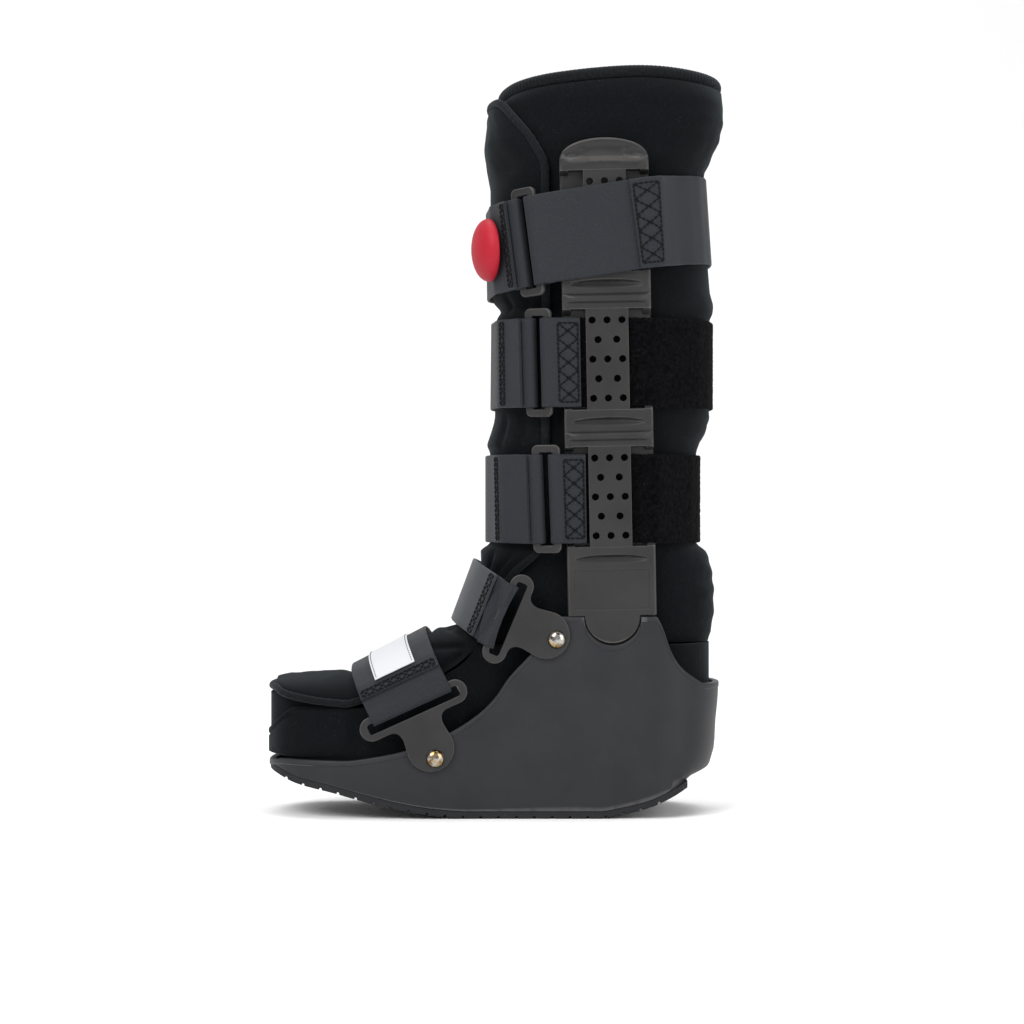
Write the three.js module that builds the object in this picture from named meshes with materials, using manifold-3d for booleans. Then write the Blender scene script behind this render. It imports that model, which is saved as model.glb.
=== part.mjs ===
// A tall walking boot: a rocker shell with two side struts, a padded liner with a front flap,
// three leg straps with rings, and a toe and an ankle strap on riveted plates.
// Millimetres, +Z up. The toe points to -X, the heel to +X, and the ring side faces -Y.
import * as THREE from "three";
import { mergeVertices } from "three/addons/utils/BufferGeometryUtils.js";
import Module from "manifold-3d";

const wasm = await Module();
wasm.setup();

// Driving sizes of the whole boot
const BOOT_LENGTH = 267;
const BOOT_HEIGHT = 431;
const GAP = 0.35;

// Shell
const SHELL_HALF_WIDTH = 50.5;
const BALL_HALF_WIDTH = 54;
const SHELL_WALL = 3.5;
const FOOTBED_RISE = 5.5;
const OUTSOLE_THICKNESS = 4;
const TREAD_PITCH = 10.2;
const TREAD_GROOVE_WIDTH = 1.7;
const TREAD_GROOVE_DEPTH = 2;
const NOTCH_RADIUS = 16.4;

// Side struts
const STRUT_WIDTH = 50.5;
const STRUT_THICKNESS = 8.5;
const STRUT_PLATE = 3;
const STRUT_FLARE = THREE.MathUtils.degToRad(3.5);
const STRUT_LEAN = THREE.MathUtils.degToRad(1.2);
const STRUT_ARCH_RISE = 13.6;
const STRUT_TAB_DEPTH = 20;
const STRUT_TAB_THICKNESS = 1.9;
const WINDOW_HEIGHT = 57;
const BRIDGE_WIDTH = 24.2;
const BRIDGE_HOLE_RADIUS = 2;
const BRIDGE_HOLE_PITCH = 11.1;
const RIDGE_HEIGHT = 4.4;
const RIDGE_RISE = 1;
const DENT_WIDTH = 37;
const DENT_HEIGHT = 5;
const DENT_DEPTH = 1.4;

// Liner and flap
const LINER_WALL = 8.5;
const LINER_SIDE_ROOM = 6;
const LINER_BALL_ROOM = 2;
const FLAP_LIFT = 1.35;
const FLAP_THICKNESS = 5.5;
const FLAP_EDGE_TAPER = 1.6;
const BINDING_DIAMETER = 4.4;
const RIM_DIAMETER = 8.4;

// Webbing, rings and pump
const WEBBING_WIDTH = 50.8;
const WEBBING_THICKNESS = 1.8;
const ANKLE_WEBBING_WIDTH = 38;
const CHANNEL_ROOM = 0.7;
const LOOP_LAP = 18;
const TAB_LAP = 14;
const FOLD_LAP = 6;
const SEAM_LAP = 16;
const STEP_DOWN = 12;
const RING_LENGTH = 62;
const RING_WIDTH = 16.5;
const RING_THICKNESS = 3;
const RING_BAR = 4.5;
const PUMP_RADIUS = 18;
const PUMP_HEIGHT = 11.5;
const LABEL_WIDTH = 25;
const LABEL_LENGTH = 62;
const LABEL_THICKNESS = 0.5;

// Slotted plates and rivets
const PLATE_THICKNESS = 2.5;
const PLATE_BAR_RADIUS = 7;
const PLATE_RAIL = 4;
const PLATE_LOBE_RADIUS = 13.7;
const PLATE_LOBE_REACH = 23.5;
const PLATE_RIVET_REACH = 30.2;
const PLATE_NECK_FLARE = 6;
const PLATE_NECK_RISE = 7;
const TOE_PLATE_BAR = 52;
const ANKLE_PLATE_BAR = 40;
const RIVET_HEAD_RADIUS = 5.1;
const RIVET_HEAD_HEIGHT = 2.6;
const RIVET_SHANK_RADIUS = 2.4;
const RIVET_TAIL = 0.8;
const RIVET_TAIL_RADIUS = 3.2;
const BORE_LENGTH = 24;

// Places as shares: along from the toe (0) to the heel (1), up from the floor (0) to the rim (1)
const along = (share) => (share - 0.5) * BOOT_LENGTH;
const up = (share) => share * BOOT_HEIGHT;

const BALL = 0.268;
const FLARE_START = 0.47;
const HEEL_START = 0.848;
const TOE_TIP = 0.0105;
const HEEL_TIP = 0.998;
const LINER_TOE_TIP = 0.0075;
const FOOTBED = 0.06497;
const STRUT_ALONG = 0.759;
const STRUT_FOOT = 0.248;
const STRUT_SHOULDER = 0.2685;
const STRUT_TOP = 0.9014;
const WINDOW_MIDDLE = 0.79278;
const WINDOW_PITCH = 0.1819;

// Sole line, toe to heel: along, up
const SOLE_LINE = [
  [0.022, 0.0594], [0.079, 0.0455], [0.159, 0.0345], [0.219, 0.0245], [0.311, 0.0105], [0.376, 0.0036],
  [0.46, 0], [0.73, 0], [0.782, 0.0055], [0.832, 0.0132], [0.881, 0.0262], [0.92, 0.0405],
];

// Heel below the cup, going up: along, up
const HEEL_LINE = [
  [0.953, 0.054], [0.976, 0.064], [0.984, 0.078], [0.989, 0.091], [0.9915, 0.1225], [0.9965, 0.154],
];

// Upper edge of the shell, toe to notch and notch to heel: along, up
const SHELL_EDGE_FRONT = [
  [0.0105, 0.0731], [0.055, 0.078], [0.18, 0.0773], [0.26, 0.0835], [0.311, 0.0898], [0.412, 0.1151],
  [0.468, 0.1371], [0.508, 0.1615], [0.535, 0.1861], [0.583, 0.2181], [0.617, 0.2425], [0.635, 0.26],
];
const SHELL_EDGE_BACK = [
  [0.856, 0.2696], [0.87, 0.2473], [0.884, 0.2227], [0.9045, 0.2026], [0.93, 0.1893], [0.963, 0.1782],
];

// Liner leg sections: up, front along, back along
const LEG_SECTIONS = [
  [0.232, 0.42, 0.972], [0.2575, 0.47, 0.982], [0.29, 0.48, 0.985], [0.334, 0.505, 0.978],
  [0.355, 0.501, 0.967], [0.365, 0.52, 0.949], [0.488, 0.52, 0.949], [0.499, 0.513, 0.953],
  [0.52, 0.523, 0.967], [0.538, 0.531, 0.977], [0.665, 0.533, 0.977], [0.68, 0.54, 0.985],
  [0.692, 0.524, 0.981], [0.8, 0.521, 0.967], [0.848, 0.521, 0.96], [0.87, 0.514, 0.963],
  [0.903, 0.505, 0.982], [0.935, 0.5115, 0.99],
];

// Edge of the leg flap: up, along
const LEG_FLAP_EDGE = [
  [0.2575, 0.49], [0.3, 0.522], [0.33, 0.556], [0.355, 0.6], [0.38, 0.614], [0.69, 0.617],
  [0.835, 0.614], [0.869, 0.614], [0.903, 0.585], [0.935, 0.549], [0.954, 0.53],
];

// Foot flap stations: crest along and up, edge along and up, half width as a share of the ball's
const FOOT_FLAP_STATIONS = [
  [0.0225, 0.1665, 0.0225, 0.1525, 0.55],
  [0.036, 0.17, 0.036, 0.1525, 0.7],
  [0.06, 0.1735, 0.062, 0.152, 0.8],
  [0.122, 0.1826, 0.129, 0.1505, 0.885],
  [0.185, 0.1868, 0.2, 0.1495, 0.895],
  [0.275, 0.2105, 0.308, 0.172, 0.87],
  [0.357, 0.239, 0.397, 0.193, 0.825],
  [0.398, 0.2495, 0.452, 0.2185, 0.78],
  [0.4435, 0.2565, 0.5, 0.2565, 0.72],
];

// Upper edge of the liner's foot part: along, up
const LINER_FOOT_EDGE = [
  [0, 0.107], [0.03, 0.109], [0.055, 0.131], [0.075, 0.1435], [0.21, 0.1465], [0.397, 0.189],
  [0.452, 0.213], [0.468, 0.2305], [1.1, 0.2305],
];

// Top of the liner tube under its rim: along, up
const RIM_LINE = [[0.5, 0.954], [0.56, 0.966], [0.65, 0.973], [0.83, 0.9805], [1, 0.9745]];

// Leg straps: name, middle height at the ring, slope, places of the ring, of the tab's end and of the front
// band's stitched end, and whether the strap runs over the strut or through its window
const LEG_STRAPS = [
  { name: "top", up: 0.7645, slope: 0.155, ring: 0.59, tabEnd: 0.85, frontEnd: 0.75, overStrut: true },
  { name: "middle", up: 0.6052, slope: 0, ring: 0.611, tabEnd: 0.687, frontEnd: 0.69, overStrut: false },
  { name: "low", up: 0.425, slope: 0, ring: 0.622, tabEnd: 0.7, frontEnd: 0.69, overStrut: false },
];

const SIDES = [
  { name: "near", sign: -1 },
  { name: "far", sign: 1 },
];

const MATERIALS = {
  shell: new THREE.MeshStandardMaterial({ color: 0x3e3e42, roughness: 0.55, metalness: 0 }),
  strut: new THREE.MeshStandardMaterial({ color: 0x46464a, roughness: 0.5, metalness: 0 }),
  rubber: new THREE.MeshStandardMaterial({ color: 0x1d1d1f, roughness: 0.85, metalness: 0 }),
  liner: new THREE.MeshStandardMaterial({ color: 0x12161c, roughness: 0.95, metalness: 0 }),
  binding: new THREE.MeshStandardMaterial({ color: 0x23282a, roughness: 0.9, metalness: 0 }),
  webbing: new THREE.MeshStandardMaterial({ color: 0x3c4048, roughness: 0.8, metalness: 0 }),
  loop: new THREE.MeshStandardMaterial({ color: 0x0f0f12, roughness: 1, metalness: 0 }),
  pump: new THREE.MeshStandardMaterial({ color: 0xc02638, roughness: 0.45, metalness: 0 }),
  rivet: new THREE.MeshStandardMaterial({ color: 0xb09a6a, roughness: 0.25, metalness: 1 }),
  label: new THREE.MeshStandardMaterial({ color: 0xf0f0f0, roughness: 0.6, metalness: 0 }),
};

// Solids and booleans
function toSolid(geometry) {
  const plain = geometry.clone();
  plain.deleteAttribute("normal");
  plain.deleteAttribute("uv");
  const merged = mergeVertices(plain, 1e-4);
  const vertProperties = new Float32Array(merged.getAttribute("position").array);
  const triVerts = new Uint32Array(merged.index.array);
  return new wasm.Manifold(new wasm.Mesh({ numProp: 3, vertProperties, triVerts }));
}

function fromSolid(solid) {
  const { vertProperties, triVerts } = solid.getMesh();
  return trianglesOf(vertProperties, triVerts);
}

function trianglesOf(positions, faces) {
  const geometry = new THREE.BufferGeometry();
  geometry.setAttribute("position", new THREE.BufferAttribute(new Float32Array(positions), 3));
  geometry.setIndex(new THREE.BufferAttribute(new Uint32Array(faces), 1));
  geometry.computeVertexNormals();
  return geometry;
}

function signedVolume(rings, faces) {
  const points = rings.flat();
  let sum = 0;
  for (let i = 0; i < faces.length; i += 3) {
    const [a, b, c] = [points[faces[i]], points[faces[i + 1]], points[faces[i + 2]]];
    sum += a.dot(b.clone().cross(c));
  }
  return sum;
}

// A skin over a row of rings that hold the same even number of points. Its ends are closed by strips
// across each ring, or the last ring joins the first. The first and second half of each ring are split
// into triangles as mirror images, so that both faces of a thin band bend in the same places.
function loft(rings, joined = false) {
  const count = rings[0].length;
  const faces = [];
  const spans = joined ? rings.length : rings.length - 1;
  for (let i = 0; i < spans; i++) {
    const here = i * count;
    const there = ((i + 1) % rings.length) * count;
    for (let j = 0; j < count; j++) {
      const next = (j + 1) % count;
      if (j < count / 2) {
        faces.push(here + j, here + next, there + next, here + j, there + next, there + j);
      } else {
        faces.push(here + j, here + next, there + j, here + next, there + next, there + j);
      }
    }
  }
  if (!joined) {
    const end = (rings.length - 1) * count;
    for (let i = 0; i < count / 2 - 1; i++) {
      const [a, b, c, d] = [i, i + 1, count - 2 - i, count - 1 - i];
      faces.push(a, c, b, a, d, c);
      faces.push(end + a, end + b, end + c, end + a, end + c, end + d);
    }
  }
  if (signedVolume(rings, faces) < 0) {
    faces.reverse();
  }
  return trianglesOf(rings.flat().flatMap((p) => [p.x, p.y, p.z]), faces);
}

function flatExtrusion(points, low, high) {
  const shape = new THREE.Shape(points);
  const geometry = new THREE.ExtrudeGeometry(shape, { depth: high - low, bevelEnabled: false });
  return geometry.translate(0, 0, low);
}

// An outline drawn along X and up Z, as thick as the boot is wide and more
function sideExtrusion(points, halfDepth = 2 * BALL_HALF_WIDTH) {
  return flatExtrusion(points, -halfDepth, halfDepth).rotateX(Math.PI / 2);
}

// Curves through tables of shares
const place = ([a, u]) => new THREE.Vector2(along(a), up(u));

function smooth(rows, steps) {
  return new THREE.SplineCurve(rows.map(place)).getPoints(steps);
}

function readTable(rows, key, column) {
  const last = rows.length - 1;
  const i = Math.max(1, rows.findIndex((row) => row[0] >= key));
  const upper = rows[key > rows[last][0] ? last : i];
  const lower = rows[key > rows[last][0] ? last - 1 : i - 1];
  const t = THREE.MathUtils.clamp((key - lower[0]) / (upper[0] - lower[0]), 0, 1);
  return THREE.MathUtils.lerp(lower[column], upper[column], t);
}

// Plan of the shell or liner, moved in by inset: round toe, flared ball, straight ankle, round heel.
// It may be narrower still at the ankle, by waist, and reach its own toe tip.
function planOutline(inset, toeTip = along(TOE_TIP) + inset, waist = 0) {
  const straight = SHELL_HALF_WIDTH - inset - waist;
  const ball = along(BALL);
  const heel = along(HEEL_START);
  const half = [];
  const toeSteps = 9;
  const heelSteps = 8;
  for (let i = 0; i <= toeSteps; i++) {
    const t = (i / toeSteps) * (Math.PI / 2);
    const x = ball - (ball - toeTip) * Math.abs(Math.cos(t)) ** (2 / 2.7);
    half.push(new THREE.Vector2(x, (BALL_HALF_WIDTH - inset) * Math.sin(t) ** (2 / 2.7)));
  }
  half.push(new THREE.Vector2(along(FLARE_START), straight));
  for (let i = 0; i <= heelSteps; i++) {
    const t = (i / heelSteps) * (Math.PI / 2);
    const x = heel + (along(HEEL_TIP) - inset - heel) * Math.sin(t) ** (2 / 2.2);
    const y = i === heelSteps ? 0 : straight * Math.cos(t) ** (2 / 2.2);
    half.push(new THREE.Vector2(x, y));
  }
  const other = half.slice(1, -1).reverse();
  return [...half, ...other.map((p) => new THREE.Vector2(p.x, -p.y))];
}

function planBlock(inset, low, high, toeTip, waist) {
  return toSolid(flatExtrusion(planOutline(inset, toeTip, waist), low, high));
}

const raised = (points, height) => points.map((p) => new THREE.Vector2(p.x, p.y + height));

// The bed that the foot part of the liner lies on: flat, and rising a little at the toe and the heel
function footbedLine(lift) {
  const rise = FOOTBED_RISE;
  const bed = up(FOOTBED) + lift;
  return [
    new THREE.Vector2(along(-0.1), bed + rise),
    new THREE.Vector2(along(0.02), bed + rise),
    new THREE.Vector2(along(0.08), bed + 0.3 * rise),
    new THREE.Vector2(along(0.14), bed),
    new THREE.Vector2(along(0.9), bed),
    new THREE.Vector2(along(1), bed + rise),
    new THREE.Vector2(along(1.1), bed + rise),
  ];
}

function aboveFootbed(lift, top) {
  const lid = [new THREE.Vector2(along(1.1), top), new THREE.Vector2(along(-0.1), top)];
  return toSolid(sideExtrusion([...footbedLine(lift), ...lid]));
}

// Struts stand on a line that leans forward and flares outward from the shell
const strutFoot = up(STRUT_FOOT);
const strutBack = (z) => SHELL_HALF_WIDTH - STRUT_THICKNESS + (z - strutFoot) * Math.tan(STRUT_FLARE);
const strutAlong = (z) => along(STRUT_ALONG) - (z - strutFoot) * Math.tan(STRUT_LEAN);

function notchOutline(radius, steps = 12) {
  const points = [];
  for (let i = 0; i <= steps; i++) {
    const t = (i / steps) * Math.PI;
    const x = along(STRUT_ALONG) - radius * Math.cos(t);
    points.push(new THREE.Vector2(x, up(STRUT_SHOULDER) - radius * Math.sin(t)));
  }
  return points;
}

function shellGeometry(rivets) {
  const top = up(STRUT_SHOULDER);
  const edge = [
    ...smooth(SHELL_EDGE_FRONT, 22),
    new THREE.Vector2(along(0.646), top),
    ...notchOutline(NOTCH_RADIUS),
    ...smooth(SHELL_EDGE_BACK, 9),
    new THREE.Vector2(along(1.01), up(0.1773)),
  ];
  const under = raised(smooth(SOLE_LINE, 20), OUTSOLE_THICKNESS + GAP);
  const heel = smooth(HEEL_LINE, 8);
  const side = [...under, ...heel, ...edge.reverse()];
  const block = planBlock(0, 0, up(0.4)).intersect(toSolid(sideExtrusion(side)));
  const hollow = planBlock(SHELL_WALL, 0, up(0.4)).intersect(aboveFootbed(0, up(0.4)));
  let shell = block.subtract(hollow);
  for (const rivet of rivets) {
    shell = shell.subtract(toSolid(rivetBore(rivet)));
  }
  return fromSolid(shell);
}

function outsoleGeometry() {
  const line = new THREE.SplineCurve(SOLE_LINE.map(place));
  const length = line.getLength();
  const grooves = Math.floor(length / TREAD_PITCH) - 1;
  const under = [line.getPointAt(0)];
  for (let i = 1; i <= grooves; i++) {
    const middle = i * TREAD_PITCH;
    const from = line.getPointAt((middle - TREAD_GROOVE_WIDTH / 2) / length);
    const to = line.getPointAt((middle + TREAD_GROOVE_WIDTH / 2) / length);
    under.push(from, ...raised([from, to], TREAD_GROOVE_DEPTH), to);
  }
  under.push(line.getPointAt(1));
  const over = raised(line.getPoints(20), OUTSOLE_THICKNESS).reverse();
  const band = toSolid(sideExtrusion([...under, ...over]));
  return fromSolid(planBlock(GAP, 0, up(0.2)).intersect(band));
}

// Strut, drawn in its own plane: x across, y up from its foot, z out from its back face
function strutBlock(halfWidth, low, high, inner, outer) {
  const points = [
    new THREE.Vector2(-halfWidth, low),
    new THREE.Vector2(halfWidth, low),
    new THREE.Vector2(halfWidth, high),
    new THREE.Vector2(-halfWidth, high),
  ];
  return toSolid(flatExtrusion(points, inner, outer));
}

function strutOutline(shoulder, top) {
  const half = STRUT_WIDTH / 2;
  const points = [new THREE.Vector2(-half, shoulder), new THREE.Vector2(half, shoulder)];
  const steps = 10;
  for (let i = 0; i <= steps; i++) {
    const t = (i / steps) * Math.PI;
    const y = top - STRUT_ARCH_RISE * (1 - Math.sin(t) ** 0.8);
    points.push(new THREE.Vector2(half * Math.cos(t), y));
  }
  return points;
}

// A low lens, round at the middle of its back: raised as a ridge, or cut as a dent
function lens(width, height, depth, y, z) {
  const shape = new THREE.SphereGeometry(0.5, 12, 6);
  return toSolid(shape.scale(width, height, 2 * depth).translate(0, y, z));
}

function bridgeHoles(windowTop) {
  const holes = [];
  const first = windowTop - (WINDOW_HEIGHT - 4 * BRIDGE_HOLE_PITCH) / 2;
  for (let row = 0; row < 5; row++) {
    const places = row % 2 === 0 ? [-0.35, 0, 0.35] : [-0.22, 0.22];
    for (const share of places) {
      const radius = BRIDGE_HOLE_RADIUS;
      const hole = new THREE.CylinderGeometry(radius, radius, 2 * STRUT_THICKNESS, 6);
      hole.rotateX(Math.PI / 2);
      hole.translate(share * BRIDGE_WIDTH, first - row * BRIDGE_HOLE_PITCH, 2 * STRUT_THICKNESS);
      holes.push(toSolid(hole));
    }
  }
  return holes;
}

function strutGeometry() {
  const shoulder = up(STRUT_SHOULDER) + 2 * GAP + (STRUT_WIDTH / 2) * Math.tan(STRUT_LEAN) - strutFoot;
  const top = up(STRUT_TOP) - strutFoot;
  const channel = WEBBING_THICKNESS + 2 * CHANNEL_ROOM;
  const half = STRUT_WIDTH / 2;
  let strut = toSolid(flatExtrusion(strutOutline(shoulder, top), 0, STRUT_THICKNESS));
  for (let i = 0; i < 3; i++) {
    const windowTop = up(WINDOW_MIDDLE - i * WINDOW_PITCH) + WINDOW_HEIGHT / 2 - strutFoot;
    const windowLow = windowTop - WINDOW_HEIGHT;
    strut = strut.subtract(strutBlock(half + 1, windowLow, windowTop, STRUT_PLATE, STRUT_THICKNESS + 1));
    const bridgeLow = STRUT_PLATE + channel;
    let bridge = strutBlock(BRIDGE_WIDTH / 2, windowLow - 1, windowTop + 1, bridgeLow, STRUT_THICKNESS);
    for (const hole of bridgeHoles(windowTop)) {
      bridge = bridge.subtract(hole);
    }
    strut = strut.add(bridge);
    const ridgeAt = windowTop + 1.35 * RIDGE_HEIGHT;
    strut = strut.add(lens(STRUT_WIDTH - 3, RIDGE_HEIGHT, RIDGE_RISE, ridgeAt, STRUT_THICKNESS));
    const dentAt = windowLow - 1.5 * DENT_HEIGHT;
    strut = strut.subtract(lens(DENT_WIDTH, DENT_HEIGHT, DENT_DEPTH, dentAt, STRUT_THICKNESS));
  }
  const centre = new THREE.Vector2(along(STRUT_ALONG), strutFoot);
  const tongue = NOTCH_RADIUS - 2 * GAP;
  const round = notchOutline(tongue, 12).map((p) => p.clone().sub(centre));
  const root = [new THREE.Vector2(tongue, shoulder + 1), new THREE.Vector2(-tongue, shoulder + 1)];
  strut = strut.add(toSolid(flatExtrusion([...round, ...root], 0, STRUT_THICKNESS)));
  const tabOuter = STRUT_THICKNESS - SHELL_WALL - 2.5 * GAP;
  const tabInner = tabOuter - STRUT_TAB_THICKNESS;
  const tab = strutBlock(half - 1, shoulder - STRUT_TAB_DEPTH, shoulder + 1, tabInner, tabOuter);
  return fromSolid(strut.add(tab));
}

function placeStrut(mesh, sign) {
  const rise = new THREE.Vector3(-Math.tan(STRUT_LEAN), sign * Math.tan(STRUT_FLARE), 1).normalize();
  const across = rise.clone().cross(new THREE.Vector3(0, sign, 0)).normalize();
  const out = across.clone().cross(rise);
  mesh.setRotationFromMatrix(new THREE.Matrix4().makeBasis(across, rise, out));
  mesh.position.set(along(STRUT_ALONG), sign * (SHELL_HALF_WIDTH - STRUT_THICKNESS), strutFoot);
  return mesh;
}

// Leg of the liner: rounded sections whose sides lie against the struts
const LEG_ROUNDNESS = 2.5;

function legSize(z, outset) {
  const share = z / BOOT_HEIGHT;
  const front = along(readTable(LEG_SECTIONS, share, 1));
  const back = along(readTable(LEG_SECTIONS, share, 2));
  const middle = (front + back) / 2;
  return { middle, reach: (back - front) / 2 + outset, half: strutBack(z) - GAP + outset };
}

function legPoint(z, turn, outset) {
  const { middle, reach, half } = legSize(z, outset);
  const power = 2 / LEG_ROUNDNESS;
  const x = middle + reach * Math.sign(Math.cos(turn)) * Math.abs(Math.cos(turn)) ** power;
  const y = half * Math.sign(Math.sin(turn)) * Math.abs(Math.sin(turn)) ** power;
  return new THREE.Vector3(x, y, z);
}

const rimHeight = (x) => up(readTable(RIM_LINE, x / BOOT_LENGTH + 0.5, 1));

function legRing(z, outset, count, rim) {
  const ring = [];
  for (let i = 0; i < count; i++) {
    const point = legPoint(z, (i / count) * 2 * Math.PI, outset);
    if (rim) {
      point.z = rimHeight(point.x);
    }
    ring.push(point);
  }
  return ring;
}

function linerLegGeometry() {
  const count = 28;
  const last = up(0.955);
  const heights = LEG_SECTIONS.map((row) => up(row[0]));
  const outer = heights.map((z) => legRing(z, 0, count, false));
  const inner = heights.filter((z, i) => i % 3 === 0 || i === heights.length - 1);
  const rings = [
    ...outer,
    legRing(last, 0, count, true),
    legRing(last, -LINER_WALL, count, true),
    ...inner.reverse().map((z) => legRing(z, -LINER_WALL, count, false)),
  ];
  return loft(rings, true);
}

// Foot of the liner: an open trough on the footbed, cut back at the toes and along the flap
function linerFootGeometry() {
  const inset = SHELL_WALL + LINER_BALL_ROOM;
  const waist = LINER_SIDE_ROOM - LINER_BALL_ROOM;
  const toe = along(LINER_TOE_TIP);
  const lowToe = along(TOE_TIP) + inset;
  const overEdge = up(0.078) + 2 * GAP;
  const edge = LINER_FOOT_EDGE.map(place).reverse();
  const side = [new THREE.Vector2(along(-0.1), 0), new THREE.Vector2(along(1.1), 0), ...edge];
  const low = planBlock(inset, 0, overEdge + 1, lowToe, waist);
  const high = planBlock(inset, overEdge, up(0.3), toe, waist);
  const body = low.add(high).intersect(toSolid(sideExtrusion(side))).intersect(aboveFootbed(GAP, up(0.3)));
  const hollow = planBlock(inset + LINER_WALL, 0, up(0.4), toe + LINER_WALL, waist);
  return fromSolid(body.subtract(hollow.intersect(aboveFootbed(LINER_WALL, up(0.4)))));
}

// Flap over the front of the leg, from its edge on one side to its edge on the other
function flapTurn(z, reachPast = 0) {
  const { middle, reach } = legSize(z, 0);
  const edge = along(readTable(LEG_FLAP_EDGE, z / BOOT_HEIGHT, 1)) + reachPast;
  const share = THREE.MathUtils.clamp((middle - edge) / reach, 0.02, 0.995);
  return Math.acos(share ** (LEG_ROUNDNESS / 2));
}

function flapArc(z, outset, count, taper = 0) {
  const turn = flapTurn(z);
  const points = [];
  for (let i = 0; i < count; i++) {
    const across = 1 - (2 * i) / (count - 1);
    points.push(legPoint(z, Math.PI + turn * across, outset - taper * Math.abs(across) ** 6));
  }
  return points;
}

function legFlapHeights() {
  const heights = LEG_SECTIONS.map((row) => row[0]).filter((share) => share > 0.25);
  return [...heights, 0.954].map(up);
}

function legFlapGeometry() {
  const rings = legFlapHeights().map((z) => {
    const outer = flapArc(z, FLAP_THICKNESS + FLAP_LIFT, 11, FLAP_EDGE_TAPER);
    return [...outer, ...flapArc(z, FLAP_LIFT, 11).reverse()];
  });
  return loft(rings);
}

// Flap over the foot: arches that turn from upright at the toes to level at the ankle
function archPoint(station, across, drop) {
  const [crestAlong, crestUp, edgeAlong, edgeUp, share] = station;
  const crest = place([crestAlong, crestUp]);
  const edge = place([edgeAlong, edgeUp]);
  const height = Math.max(crest.distanceTo(edge) - drop, GAP);
  const half = share * BALL_HALF_WIDTH - (drop > 0 ? drop : 0);
  const rise = height * (1 - Math.abs(across) ** 2.3) ** (1 / 2.3);
  const point = crest.sub(edge).setLength(rise).add(edge);
  return new THREE.Vector3(point.x, across * half, point.y);
}

function footFlapGeometry() {
  const count = 13;
  const rings = FOOT_FLAP_STATIONS.map((station) => {
    const ring = [];
    for (let i = 0; i < count; i++) {
      ring.push(archPoint(station, -Math.cos((i / (count - 1)) * Math.PI), 0));
    }
    for (let i = count - 1; i >= 0; i--) {
      ring.push(archPoint(station, -Math.cos((i / (count - 1)) * Math.PI), FLAP_THICKNESS));
    }
    return ring;
  });
  return loft(rings);
}

// Rolled edges
function roll(points, diameter, steps, sides = 6) {
  const section = new THREE.Shape();
  for (let i = 0; i < sides; i++) {
    const t = (i / sides) * 2 * Math.PI;
    section[i === 0 ? "moveTo" : "lineTo"]((diameter / 2) * Math.cos(t), (diameter / 2) * Math.sin(t));
  }
  const path = new THREE.CatmullRomCurve3(points, false, "centripetal");
  return new THREE.ExtrudeGeometry(section, { steps, bevelEnabled: false, extrudePath: path });
}

function rimBindingGeometry() {
  const count = 28;
  const sides = 6;
  const radius = RIM_DIAMETER / 2;
  const rings = [];
  for (let i = 0; i < count; i++) {
    const turn = (i / count) * 2 * Math.PI;
    const ring = [];
    for (let j = 0; j < sides; j++) {
      const t = (j / sides) * 2 * Math.PI;
      const point = legPoint(up(0.955), turn, -LINER_WALL / 2 + radius * Math.cos(t));
      point.z = rimHeight(point.x) + GAP + radius * (1 + Math.sin(t)) + 0.4;
      ring.push(point);
    }
    rings.push(ring);
  }
  return loft(rings, true);
}

function legFlapBindingGeometry() {
  const outset = FLAP_LIFT + BINDING_DIAMETER / 2;
  const past = 1.6 * (BINDING_DIAMETER / 2 + 2 * GAP);
  const [lowest, highest] = [up(0.3), up(0.95)];
  const side = [];
  for (let i = 0; i <= 24; i++) {
    side.push(THREE.MathUtils.lerp(lowest, highest, i / 24));
  }
  const edge = (z, sign) => {
    const start = legPoint(z, Math.PI - sign * flapTurn(z), outset);
    let turn = flapTurn(z);
    while (legPoint(z, Math.PI - sign * turn, outset).distanceTo(start) < past) {
      turn += 0.004;
    }
    return legPoint(z, Math.PI - sign * turn, outset);
  };
  const near = side.map((z) => edge(z, -1));
  const far = side.map((z) => edge(z, 1)).reverse();
  const lift = up(0.954) + BINDING_DIAMETER / 2 + 5 * GAP;
  const over = flapArc(up(0.954), FLAP_LIFT + FLAP_THICKNESS / 2, 5).map((p) => p.setZ(lift));
  return roll([...near, ...over, ...far], BINDING_DIAMETER, 48, 5);
}

function footFlapBindingGeometry() {
  const drop = BINDING_DIAMETER / 2;
  const out = BINDING_DIAMETER / 2 + 3.5 * GAP;
  const before = BINDING_DIAMETER / 2 + GAP;
  const stations = FOOT_FLAP_STATIONS.slice(1, 7).reverse();
  const edge = ([, , a, u, share], sign) => {
    return new THREE.Vector3(along(a) - drop, sign * (share * BALL_HALF_WIDTH + out), up(u) + drop * 0.4);
  };
  const near = stations.map((station) => edge(station, -1));
  const far = stations.map((station) => edge(station, 1)).reverse();
  const [, crest, a, u, share] = FOOT_FLAP_STATIONS[0];
  const front = [-1.05, -0.5, 0, 0.5, 1.05].map((t) => {
    return new THREE.Vector3(along(a) - before, t * share * BALL_HALF_WIDTH, up((crest + u) / 2));
  });
  return roll([...near, ...front, ...far], BINDING_DIAMETER, 36, 5);
}

// Taut webbing: the tightest loop around the points that it passes
function tautLoop(points) {
  const sorted = [...points].sort((a, b) => a.x - b.x || a.y - b.y);
  const turnsIn = (o, a, b) => (a.x - o.x) * (b.y - o.y) - (a.y - o.y) * (b.x - o.x) <= 1e-9;
  const chain = (list) => {
    const kept = [];
    for (const p of list) {
      while (kept.length > 1 && turnsIn(kept[kept.length - 2], kept[kept.length - 1], p)) {
        kept.pop();
      }
      kept.push(p);
    }
    return kept.slice(0, -1);
  };
  return [...chain(sorted), ...chain(sorted.reverse())];
}

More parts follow.
